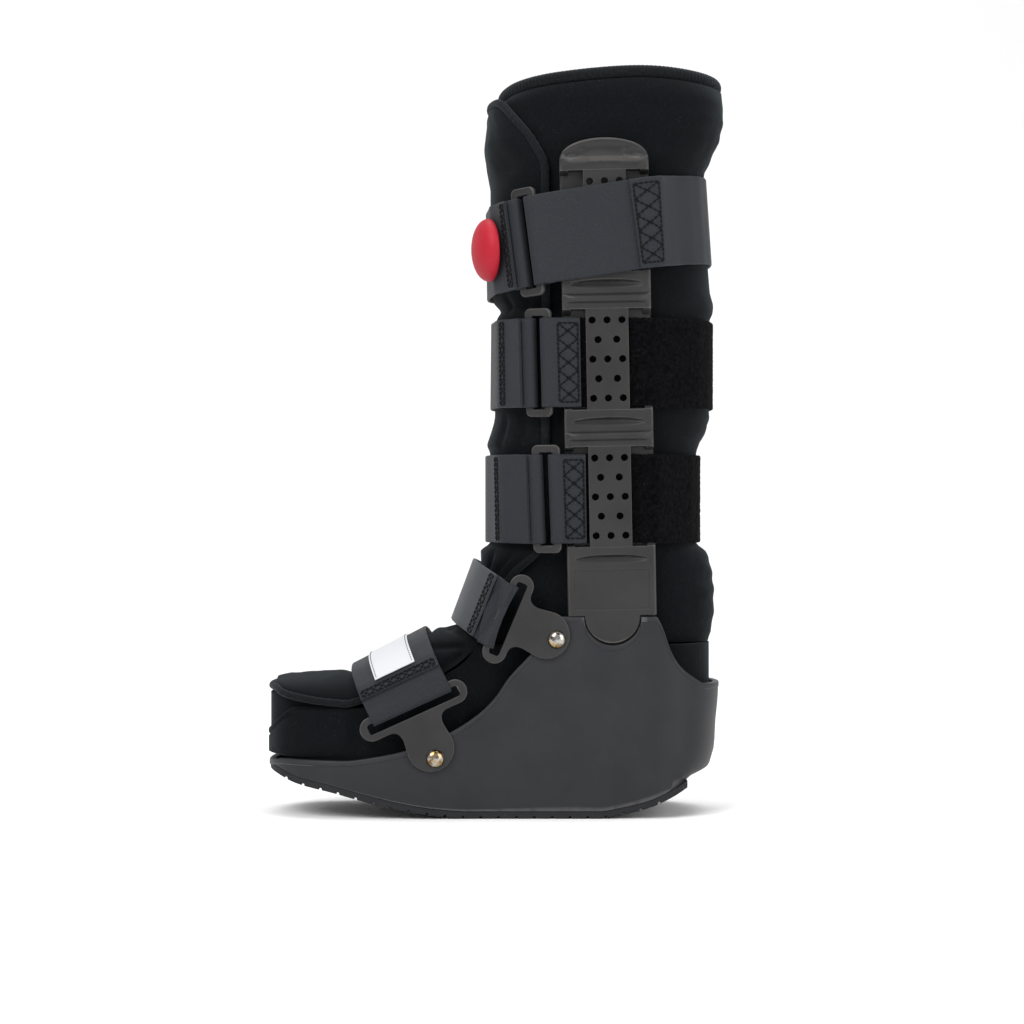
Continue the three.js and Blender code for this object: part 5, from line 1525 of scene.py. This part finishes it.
TOE_STRAP_CREST = along(0.277)
INSTEP_CREASES = [
    ((-34.0, 97.0), (-11.0, 98.5)), ((-28.5, 86.5), (-10.5, 98.5)), ((-30.0, 110.0), (-9.0, 101.0)),
]


def near_segment(x, z, start, end):
    run = Vector(end) - Vector(start)
    share = min(max((Vector((x, z)) - Vector(start)).dot(run) / run.length_squared, 0.0), 1.0)
    return (Vector((x, z)) - Vector(start) - run * share).length, share


def instep_crease(x, z):
    depth = 0.0
    for start, end in INSTEP_CREASES:
        distance, share = near_segment(x, z, start, end)
        depth += (0.45 + 0.55 * share) * math.exp(-(distance / 1.9) ** 2)
    return min(depth, 1.3)


def build_foot_flap():
    rows = FOOT_FLAP_STATIONS
    keyed = [[i / (len(rows) - 1), *row] for i, row in enumerate(rows)]
    turns = [-math.cos(i / 70 * math.pi) for i in range(71)]
    rings = []
    for run in (i / 130 for i in range(131)):
        station = [follow(keyed, run, c) for c in range(1, 6)]
        crest_x = along(station[0])
        free = blend_steps(22.0, 30.0, abs(crest_x - TOE_STRAP_CREST)) * \
            blend_steps(along(0.40), along(0.355), crest_x) * blend_steps(0.0, 0.05, run)
        past_toe = blend_steps(along(0.3), along(0.33), crest_x)
        outer = []
        for t in turns:
            base = arch_point(station, t, 0.0)
            direction = (base - Vector((base.x, 0, up(station[3])))).normalized()
            crease = fine_folds(base, 0.055, (2.4, 0.8, 1.0), 21.0)
            side = blend_steps(6.0, 20.0, abs(base.y))
            fold = instep_crease(base.x, base.z) * past_toe * blend_steps(along(0.45), along(0.43), base.x)
            swell = 2.3 + (0.35 + 0.65 * past_toe) * crease + 2.4 * past_toe
            move = free * (1 - abs(t) ** 4) * swell - 4.2 * fold * side
            outer.append(base + direction * move)
        rings.append(outer + [arch_point(station, t, FLAP_THICKNESS - 0.2) for t in reversed(turns)])
    piece = skin("foot_flap_padding", rings)
    cloth_map(piece, lambda p: (math.atan2(p.y, p.z - 40.0) * FOOT_CLOTH_RADIUS, p.x + 0.5 * p.z, 0))
    shade(piece, 60)
    return piece


foot_flap = build_foot_flap()
hand_over(foot_flap, LINER_KNIT, "liner", "foot_flap")

# %% [markdown]
# ## Bound edges
#
# The liner's rim and the edges of both flaps are bound with a rolled cloth strip. Each is a tube along the
# edge. Small even swellings along it show where the strip is stitched down.

# %% Even steps along a path, and a tube around it


def running_lengths(points):
    lengths = [0.0]
    for a, b in zip(points, points[1:]):
        lengths.append(lengths[-1] + (b - a).length)
    return lengths


def even_places(lengths, count):
    """For even steps along a path: the leg that each falls on, and its share along that leg."""
    places, k = [], 0
    for i in range(count + 1):
        wanted = lengths[-1] * i / count
        while k < len(lengths) - 2 and lengths[k + 1] < wanted:
            k += 1
        share = (wanted - lengths[k]) / max(lengths[k + 1] - lengths[k], 1e-9)
        places.append((k, min(max(share, 0.0), 1.0)))
    return places


def smoothed(rows, rounds):
    """Rows of vectors, each drawn towards its neighbours; the first and the last stay."""
    for _ in range(rounds):
        rows = [row if i in (0, len(rows) - 1) else
                [a * 0.25 + b * 0.5 + c * 0.25 for a, b, c in zip(rows[i - 1], row, rows[i + 1])]
                for i, row in enumerate(rows)]
    return rows


def smooth_path(points, spacing):
    """Even points along a path, rounded at its corners."""
    lengths = running_lengths(points)
    places = even_places(lengths, max(2, round(lengths[-1] / spacing)))
    return [row[0] for row in smoothed([[points[k].lerp(points[k + 1], share)] for k, share in places], 6)]


def tube(name, path, radius, sides, pinch, depth, closed=False):
    rings, lengths = [], running_lengths(path)
    count = len(path)
    side = Vector((0.3, 0.2, 1))
    for i, (centre, length) in enumerate(zip(path, lengths)):
        before = path[i - 1] if i or closed else centre
        after = path[(i + 1) % count] if i < count - 1 or closed else centre
        ahead = (after - before).normalized()
        side = (side - ahead * side.dot(ahead)).normalized()
        other = ahead.cross(side)
        size = radius * (1 - depth + depth * math.cos(length / pinch * 2 * math.pi))
        if not closed:
            size *= 0.25 + 0.75 * min(1.0, min(i, count - 1 - i) / 2.5)
        turns = [k / sides * 2 * math.pi for k in range(sides)]
        rings.append([centre + (side * math.cos(t) + other * math.sin(t)) * size for t in turns])
    piece = skin(name, rings, closed_run=closed)
    layer = piece.data.uv_layers.new(name="cloth")
    for face in piece.data.polygons:
        rows = [v // sides for v in face.vertices]
        columns = [v % sides for v in face.vertices]
        for loop, row, column in zip(face.loop_indices, rows, columns):
            if closed and max(rows) - min(rows) > 1 and row == 0:
                row = count - 1
            if max(columns) - min(columns) > 1 and column == 0:
                column = sides
            layer.data[loop].uv = (lengths[row], column / sides * 2 * math.pi * radius)
    shade(piece)
    return piece


print("tube helpers ready")

# %% Rolled rim of the liner


def rim_path():
    return [rim_point(i / 640 * 2 * math.pi, LINER_WALL / 2, 3.6) for i in range(640)]


rim = tube("rim_binding_roll", rim_path(), 4.2, closed=True, sides=16, pinch=2.4, depth=0.025)
hand_over(rim, BOUND_EDGE, "binding", "rim_binding")

# %% Rolled edge of the leg flap


def leg_edge_path():
    radius = 2.2

    def edge(z, sign):
        turn = flap_turn(z)
        start = point = leg_point(z, math.pi - sign * turn, FLAP_LIFT + radius)
        while (point - start).length < 0.9 * radius:
            turn += 0.004
            point = leg_point(z, math.pi - sign * turn, FLAP_LIFT + radius)
        return point

    high = up(0.954)
    side = [up(0.3) + (up(0.95) - up(0.3)) * i / 60 for i in range(61)]
    over = []
    for i in range(9):
        turn = math.pi - flap_turn(high) * (i / 8 * 2 - 1)
        point = leg_point(high, turn, FLAP_LIFT + FLAP_THICKNESS / 2)
        over.append(Vector((point.x, point.y, high + 0.5 * radius)))
    near = [edge(z, 1) for z in side]
    if (over[0] - near[-1]).length > (over[-1] - near[-1]).length:
        over.reverse()
    return smooth_path([*near, *over, *(edge(z, -1) for z in reversed(side))], 1.6)


leg_edge = tube("leg_flap_binding_roll", leg_edge_path(), 2.5, sides=14, pinch=4.8, depth=0.04)
hand_over(leg_edge, BOUND_EDGE, "binding", "leg_flap_binding")

# %% Rolled edge of the foot flap


def foot_edge_path():
    drop = 2.2
    stations = FOOT_FLAP_STATIONS[1:7][::-1]

    def edge(station, sign):
        y = sign * (station[4] * BALL_HALF_WIDTH + 0.55 * drop)
        return Vector((along(station[2]) - drop + toe_round(station[2], 1), y, up(station[3]) + drop * 0.4))

    first = FOOT_FLAP_STATIONS[0]
    tip_z = up((first[1] + first[3]) / 2)
    tip_x = along(first[2]) - drop + 0.4
    front = [Vector((tip_x + toe_round(first[2], t), t * first[4] * BALL_HALF_WIDTH, tip_z))
             for t in (-1.05, -0.8, -0.5, 0, 0.5, 0.8, 1.05)]
    near = [edge(station, -1) for station in stations]
    return smooth_path([*near, *front, *(edge(station, 1) for station in stations[::-1])], 1.6)


foot_edge = tube("foot_flap_binding_roll", foot_edge_path(), 2.2, sides=12, pinch=4.8, depth=0.05)
hand_over(foot_edge, BOUND_EDGE, "binding", "foot_flap_binding")

# %% [markdown]
# ## Webbing straps
#
# A strap is a flat band that keeps its width and thickness while it bends round rings, struts and padding, so
# it is modelled directly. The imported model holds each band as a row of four-cornered sections. Those
# sections are read back, joined into a course with rounded turns, and skinned again with a soft edge. Each
# point keeps its length along the band and its place across it, for the weave and for the stitches.

# %% Long edges of a packed band


def trace_rails(work, degrees):
    """Chains of sharp edges from one end of a band to its other end."""
    sharp = {}
    for edge in work.edges:
        if len(edge.link_faces) == 2 and edge.calc_face_angle(0.0) > math.radians(degrees):
            for v in edge.verts:
                sharp.setdefault(v.index, set()).add(edge.other_vert(v).index)
    corners = {v for v, others in sharp.items() if len(others) == 3}
    rails, used = [], set()
    for start in corners:
        ways = [o for o in sharp[start] if o not in corners]
        if start in used or len(ways) != 1:
            continue
        rail = [start, ways[0]]
        while rail[-1] not in corners:
            following = [o for o in sharp[rail[-1]] if o != rail[-2]]
            if len(following) != 1:
                break
            rail.append(following[0])
        used.update((rail[0], rail[-1]))
        rails.append([work.verts[k].co / MM for k in rail])
    return rails


def band_rails(name):
    """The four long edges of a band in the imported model, as lists of points in millimetres."""
    work = bmesh.new()
    work.from_mesh(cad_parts[name].data)
    bmesh.ops.remove_doubles(work, verts=work.verts, dist=0.00002)
    work.verts.ensure_lookup_table()
    for degrees in (62, 70, 76, 80, 84, 55, 48):
        rails = trace_rails(work, degrees)
        if len(rails) == 4 and len({len(rail) for rail in rails}) == 1:
            break
    work.free()
    return rails


print("long edges of the label:", len(band_rails("toe_label")))

# %% Course of a band: even stations, and places on it


def band_course(name, ring_centre=None, centre=None, smoothing=5, spacing=1.1):
    """Even stations of a band: low and high point of its middle surface, and the way out."""
    rails = band_rails(name)
    first = rails[0]
    rails = [r if (r[0] - first[0]).length < (r[-1] - first[0]).length else r[::-1] for r in rails]
    if ring_centre is not None and (rails[0][0] - ring_centre).length > (rails[0][-1] - ring_centre).length:
        rails = [r[::-1] for r in rails]
    middle = [sum((r[i] for r in rails), Vector()) / 4 for i in range(len(first))]
    partner = min((1, 2, 3), key=lambda k: (rails[k][-1] - rails[0][-1]).length)
    pairs = [(0, partner), tuple(k for k in (1, 2, 3) if k != partner)]
    pairs.sort(key=lambda pair: sum(0.3 * rails[k][-1].x + rails[k][-1].z for k in pair))
    centre = centre or Vector((along(0.75), 0, 0))
    flat = centre.z == 0

    def away(point):
        off = point - centre
        return math.hypot(off.x, off.y) if flat else off.length

    end = len(first) - 1 if ring_centre is not None else len(first) // 2
    inner_first = [sorted(pair, key=lambda k: away(rails[k][end])) for pair in pairs]
    (low_in, low_out), (high_in, high_out) = inner_first
    lengths = running_lengths(middle)
    rows = []
    for k, share in even_places(lengths, max(4, round(lengths[-1] / spacing))):
        at = [r[k].lerp(r[k + 1], share) for r in rails]
        out = (at[low_out] + at[high_out] - at[low_in] - at[high_in]).normalized()
        rows.append([(at[low_in] + at[low_out]) / 2, (at[high_in] + at[high_out]) / 2, out])
    rows = smoothed(rows, smoothing)
    lengths = running_lengths([(low + high) / 2 for low, high, _ in rows])
    return [(length, low, high, out.normalized()) for length, (low, high, out) in zip(lengths, rows)]


def on_course(stations, s, across, lift):
    """A point at length s, at a share across from -1 to 1, lifted outward."""
    s, i = row_after(stations, s)
    a, b = stations[i - 1], stations[i]
    share = (s - a[0]) / max(b[0] - a[0], 1e-9)
    low, high, out = (a[c].lerp(b[c], share) for c in (1, 2, 3))
    return low.lerp(high, (across + 1) / 2) + out * lift


def nearest_length(stations, x):
    """Length along a band at which it passes x on the near side."""
    def miss(row):
        middle = (row[1] + row[2]) / 2
        return abs(middle.x - x) + (0 if middle.y < 0 else 1000)
    return min(stations, key=miss)[0]


print("course helpers ready")

# %% Skin of a band, with soft selvedges


def band(name, stations, thickness=WEBBING_THICKNESS, columns=14, wobble=0.15, pile=0.0):
    """Skin over the stations with rounded selvedges; pile roughens the outer face and frays the edges."""
    half = (stations[0][2] - stations[0][1]).length / 2
    flat = half - thickness / 2
    section = [(flat * (2 * i / columns - 1), 1.0) for i in range(columns + 1)]
    ends = [(math.sin(t), math.cos(t)) for t in (math.radians(d) for d in (30, 60, 90, 120, 150))]
    top = [(x / half, h) for x, h in section]
    right = [((flat + thickness / 2 * a) / half, b) for a, b in ends]
    under = [(x, -h) for x, h in reversed(top)]
    left = [(-x, -h) for x, h in right]
    outline = top + right + under + left
    rings = []
    for s, low, high, out in stations:
        ring = []
        for w, h in outline:
            edge = wobble * noise.noise(Vector((s * 0.16, math.copysign(7.0, w), half))) * abs(w) ** 6
            place = low.lerp(high, (w + 1) / 2) + (high - low).normalized() * edge
            swell = 0.06 * math.exp(-((abs(w) - 0.93) / 0.035) ** 2)
            lift = thickness / 2 * h * (1 + swell)
            if pile:
                fuzz = noise.noise(Vector((s * 1.9, w * half * 1.9, 3.0)))
                coarse = noise.noise(Vector((s * 0.5, w * half * 0.5, 9.0)))
                lift += pile * (0.7 * fuzz + 0.5 * coarse) * (1 if h > -0.5 else 0.2)
                place += (high - low).normalized() * (1.6 * pile * fuzz * abs(w) ** 10)
            ring.append(place + out * lift)
        rings.append(ring)
    piece = skin(name, rings)
    layer = piece.data.uv_layers.new(name="cloth")
    width = len(outline)
    for face in piece.data.polygons:
        for loop, v in zip(face.loop_indices, face.vertices):
            layer.data[loop].uv = (stations[v // width][0], outline[v % width][0] * half)
    shade(piece, 55)
    return piece


for name in ("top_strap_back", "middle_strap_tab", "toe_strap_band", "ankle_loop_near", "toe_label"):
    print(name, "rails:", [len(rail) for rail in band_rails(name)])

# %% The three leg straps: back band, tab, loop and front band
COURSES = {}


def centre_of(name):
    low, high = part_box(name)
    return (low + high) / 2 / MM


def dress_band(name, material, slot, ring=None, centre=None, **options):
    ring_centre = centre_of(ring) if ring else None
    smoothing = 2 if ring else 5
    fine = 0.75 if options.get("pile") else 1.1
    COURSES[name] = band_course(name, ring_centre, centre, smoothing, fine)
    piece = band(name + "_webbing", COURSES[name], **options)
    return hand_over(piece, material, slot, name)


for strap in ("top", "middle", "low"):
    ring = f"{strap}_strap_ring"
    if strap == "top":
        dress_band("top_strap_back", WEBBING, "webbing")
    else:
        dress_band(f"{strap}_strap_back", LOOP_PILE, "loop", columns=60, pile=0.42, wobble=0.3)
    dress_band(f"{strap}_strap_tab", WEBBING, "webbing", ring)
    dress_band(f"{strap}_strap_loop", WEBBING, "webbing", ring)
    dress_band(f"{strap}_strap_front", WEBBING, "webbing")

# %% The toe and ankle straps, and the blank label

for strap, material, low_centre in (("toe", WEBBING, 30.0), ("ankle", PALE_WEBBING, 60.0)):
    under = Vector((centre_of(f"{strap}_strap_band").x, 0, low_centre))
    for side, _ in SIDES:
        dress_band(f"{strap}_loop_{side}", WEBBING, "webbing", f"{strap}_plate_{side}", centre=under)
    dress_band(f"{strap}_strap_band", material, "webbing", centre=under)
dress_band("toe_label", LABEL_CLOTH, "label", centre=Vector((centre_of("toe_label").x, 0, 30.0)),
           thickness=0.5, wobble=0.03)

# %% [markdown]
# ## Rings
#
# A plastic ring joins each front band to its tab. It is a flat frame with well rounded bars, so it is cut by
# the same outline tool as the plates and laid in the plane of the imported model's ring.

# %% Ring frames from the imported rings
RING_HALF_WIDTH = 8.25
RING_HALF_HEIGHT = 31.0
RING_BAR = 4.5
RING_HALF_THICKNESS = 1.5
RING_SLOT_HALF = WEBBING_HALF + 1.1


def flatness(points, middle, normal):
    heights = [(p - middle).dot(normal) for p in points]
    return max(heights) - min(heights)


def plane_of(name):
    """Middle of a packed ring, the way up along it and the way out of it."""
    points = [v.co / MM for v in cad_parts[name].data.vertices]
    middle = centre_of(name)
    top = [p for p in points if (p - middle).z > 26]
    low = [p for p in points if (p - middle).z < -26]
    rise = (sum(top, Vector()) / len(top) - sum(low, Vector()) / len(low)).normalized()

    def spread(p):
        return (p - middle).cross(rise).length - 0.3 * abs((p - middle).dot(rise))

    widest = max(points, key=spread) - middle
    out = (widest - rise * widest.dot(rise)).normalized().cross(rise).normalized()
    for _ in range(40):
        turned = [Matrix.Rotation(a, 3, rise) @ out for a in (-0.01, 0.0, 0.01)]
        out = min(turned, key=lambda way: flatness(points, middle, way))
    if out.dot(Vector((middle.x - along(0.75), middle.y, 0))) < 0:
        out = -out
    print(name, "thickness:", round(flatness(points, middle, out), 2))
    return middle, rise, out


def build_ring(name):
    middle, rise, out = plane_of(name)
    run = rise.cross(out).normalized()
    outline = rounded_rectangle(RING_HALF_WIDTH, RING_HALF_HEIGHT, 3.5)
    slot = rounded_rectangle(RING_HALF_WIDTH - RING_BAR, RING_SLOT_HALF, 1.2, 5)
    part = flat_part(outline, [slot], -RING_HALF_THICKNESS, RING_HALF_THICKNESS, 0.95)
    return moulded_flat(name, middle, (run, rise, out), part, 45)


for strap in ("top", "middle", "low"):
    build_ring(f"{strap}_strap_ring")

# %% Pump bulb on the front band of the top strap
PUMP_RADIUS = 18.1
PUMP_RISE = 8.9
PUMP_SHIFT = 5.5


def build_pump():
    course = COURSES["top_strap_front"]
    place = centre_of("pump_bulb")
    s = min(course, key=lambda row: ((row[1] + row[2]) / 2 - place).length)[0]
    s = max((s - PUMP_SHIFT, s + PUMP_SHIFT), key=lambda value: on_course(course, value, 0.0, 0.9).x)
    seat = on_course(course, s, 0.0, 0.9)
    out = (on_course(course, s, 0.0, 5.0) - seat).normalized()
    profile = [(PUMP_RADIUS - 1.1, -0.6), (PUMP_RADIUS - 0.4, -0.3), (PUMP_RADIUS, 0.5)]
    for i in range(1, 19):
        turn = i / 18 * math.pi / 2 * 0.99
        profile.append((PUMP_RADIUS * math.cos(turn) ** 0.94, 1.2 + PUMP_RISE * math.sin(turn)))
    piece = spun("pump_bulb_dome", profile, seat + out * 0.75, out, 72)
    shade(piece, 50)
    print("pump seat:", [round(v, 1) for v in seat], "out:", [round(v, 2) for v in out])
    return hand_over(piece, PUMP_RUBBER, "pump", "pump_bulb")


build_pump()

# %% [markdown]
# ## Stitches
#
# Black thread shows on the grey webbing as boxes, crosses and zigzag tacks. Each stitch is a short bowed
# thread that dips into the band at both ends. It is placed by its length along the band and its share across
# it, so it lies on the webbing wherever that bends.

# %% One stitch, and lines of stitches on a band


THREAD_SIDES = 6


def thread_rings(stations, start, end, lift, radius):
    """Rings of one stitch between two places (length, share across) on a band."""
    rings = []
    ahead = (on_course(stations, *end, lift) - on_course(stations, *start, lift)).normalized()
    s, w = (start[0] + end[0]) / 2, (start[1] + end[1]) / 2
    out = (on_course(stations, s, w, lift + 1) - on_course(stations, s, w, lift)).normalized()
    side = ahead.cross(out).normalized()
    turns = [k / THREAD_SIDES * 2 * math.pi for k in range(THREAD_SIDES)]
    for t in (0.0, 0.12, 0.35, 0.65, 0.88, 1.0):
        bow = math.sin(math.pi * t)
        place = [a + (b - a) * t for a, b in zip(start, end)]
        centre = on_course(stations, *place, lift - 0.16 + 0.34 * bow ** 0.6)
        size = radius * (0.45 + 0.55 * bow ** 0.4)
        rings.append([centre + side * (size * math.cos(a)) + out * (size * math.sin(a)) for a in turns])
    return rings


def stitch_lines(name, stations, lines, lift=1.0, pitch=2.6, radius=0.52):
    half = (stations[0][2] - stations[0][1]).length / 2
    points, faces = [], []
    for line in lines:
        for (s0, w0), (s1, w1) in zip(line, line[1:]):
            count = max(1, round(math.hypot(s1 - s0, (w1 - w0) * half) / pitch))
            for i in range(count):
                start, end = ((s0 + (s1 - s0) * a, w0 + (w1 - w0) * a)
                              for a in ((i + 0.06) / count, (i + 0.94) / count))
                rings = thread_rings(stations, start, end, lift, radius)
                faces += between_rings(len(rings), THREAD_SIDES, len(points))
                points += [p for ring in rings for p in ring]
    piece = outward(mesh_piece(name, points, faces))
    shade(piece)
    return hand_over(piece, THREAD, "binding")


print("stitch helper ready")

# %% Boxes, crosses and tacks of thread


def box_stitch(s0, s1, w=0.88, crosses=5):
    """A box filled with crosses, one over the other, as lines of places."""
    lines = [[(s0, -w), (s1, -w), (s1, w), (s0, w), (s0, -w)]]
    for i in range(crosses):
        low, high = -w + 2 * w * i / crosses, -w + 2 * w * (i + 1) / crosses
        lines += [[(s0, low), (s1, high)], [(s1, low), (s0, high)]]
    return lines


def ladder_tack(s, reach=2.1, crosses=9):
    return box_stitch(s - reach, s + reach, 0.93, crosses)


for strap in ("middle", "low"):
    course = COURSES[f"{strap}_strap_tab"]
    end = course[-1][0]
    stitch_lines(f"{strap}_tab_stitches", course, box_stitch(end - 12.6, end - 1.4))
course = COURSES["top_strap_back"]
if course[0][1].y < 0:
    places = (1.4, 15.0)
else:
    places = (course[-1][0] - 15.0, course[-1][0] - 1.4)
stitch_lines("top_back_stitches", course, box_stitch(*places))

for strap, x in (("top", 9.0), ("middle", 6.5), ("low", 3.2)):
    course = COURSES[f"{strap}_strap_front"]
    stitch_lines(f"{strap}_front_tack", course, ladder_tack(nearest_length(course, x)))

for strap, crosses in (("toe", 9), ("ankle", 7)):
    course = COURSES[f"{strap}_strap_band"]
    for side, place in (("near", 2.9), ("far", course[-1][0] - 2.9)):
        stitch_lines(f"{strap}_tack_{side}", course, ladder_tack(place, crosses=crosses))

label = COURSES["toe_label"]
label_end = label[-1][0]
edge = [[(1.5, -0.9), (label_end - 1.5, -0.9)], [(1.5, 0.9), (label_end - 1.5, 0.9)]]
stitch_lines("label_stitches", label, edge, lift=0.25, pitch=2.4, radius=0.2)

# %% [markdown]
# ## Floor and light
#
# The boot stands on a plain white floor that curves up behind it. Two large soft lamps from the front give
# the broad, even light of a catalogue picture, and a third above the boot lifts the dark upper edges.

# %% Stage and lamps
FLOOR_FRONT = 3000.0
FLOOR_BACK = 1200.0
FLOOR_HALF_WIDTH = 4000.0
BEND = 900.0
WALL_HEIGHT = 4000.0


def build_floor():
    turns = [i / 16 * math.pi / 2 for i in range(1, 17)]
    profile = [(-FLOOR_FRONT, 0.0), (FLOOR_BACK, 0.0)]
    profile += [(FLOOR_BACK + BEND * math.sin(t), BEND * (1 - math.cos(t))) for t in turns]
    profile.append((FLOOR_BACK + BEND, WALL_HEIGHT))
    points = [(x, y, z) for y, z in profile for x in (-FLOOR_HALF_WIDTH, FLOOR_HALF_WIDTH)]
    faces = [(2 * i, 2 * i + 1, 2 * i + 3, 2 * i + 2) for i in range(len(profile) - 1)]
    floor = mesh_piece("studio_floor", points, faces)
    floor.data.shade_smooth()
    material, _, shader = open_material("Studio paper", 0.9, specular=0.1)
    shader.inputs["Base Color"].default_value = (0.9, 0.9, 0.9, 1)
    floor.data.materials.append(material)


def add_lamp(name, place, target, size, power):
    data = bpy.data.lights.new(name, "AREA")
    data.shape = "RECTANGLE"
    data.size, data.size_y = size
    data.energy = power
    lamp = bpy.data.objects.new(name, data)
    lamp.location = place
    lamp.rotation_euler = (Vector(target) - Vector(place)).to_track_quat("-Z", "Y").to_euler()
    bpy.context.scene.collection.objects.link(lamp)


build_floor()
add_lamp("key_softbox", (-0.9, -1.5, 1.5), (0, 0, 0.2), (1.2, 1.2), 34)
add_lamp("fill_softbox", (1.3, -1.3, 0.7), (0, 0, 0.2), (1.2, 1.4), 14)
add_lamp("top_softbox", (0.1, 0.2, 1.7), (0, 0, 0.1), (1.6, 1.2), 22)
world = bpy.data.worlds.new("studio_air")
world.use_nodes = True
world.node_tree.nodes["Background"].inputs["Color"].default_value = (1, 1, 1, 1)
world.node_tree.nodes["Background"].inputs["Strength"].default_value = 0.55
bpy.context.scene.world = world
bpy.context.scene.view_settings.view_transform = "Standard"
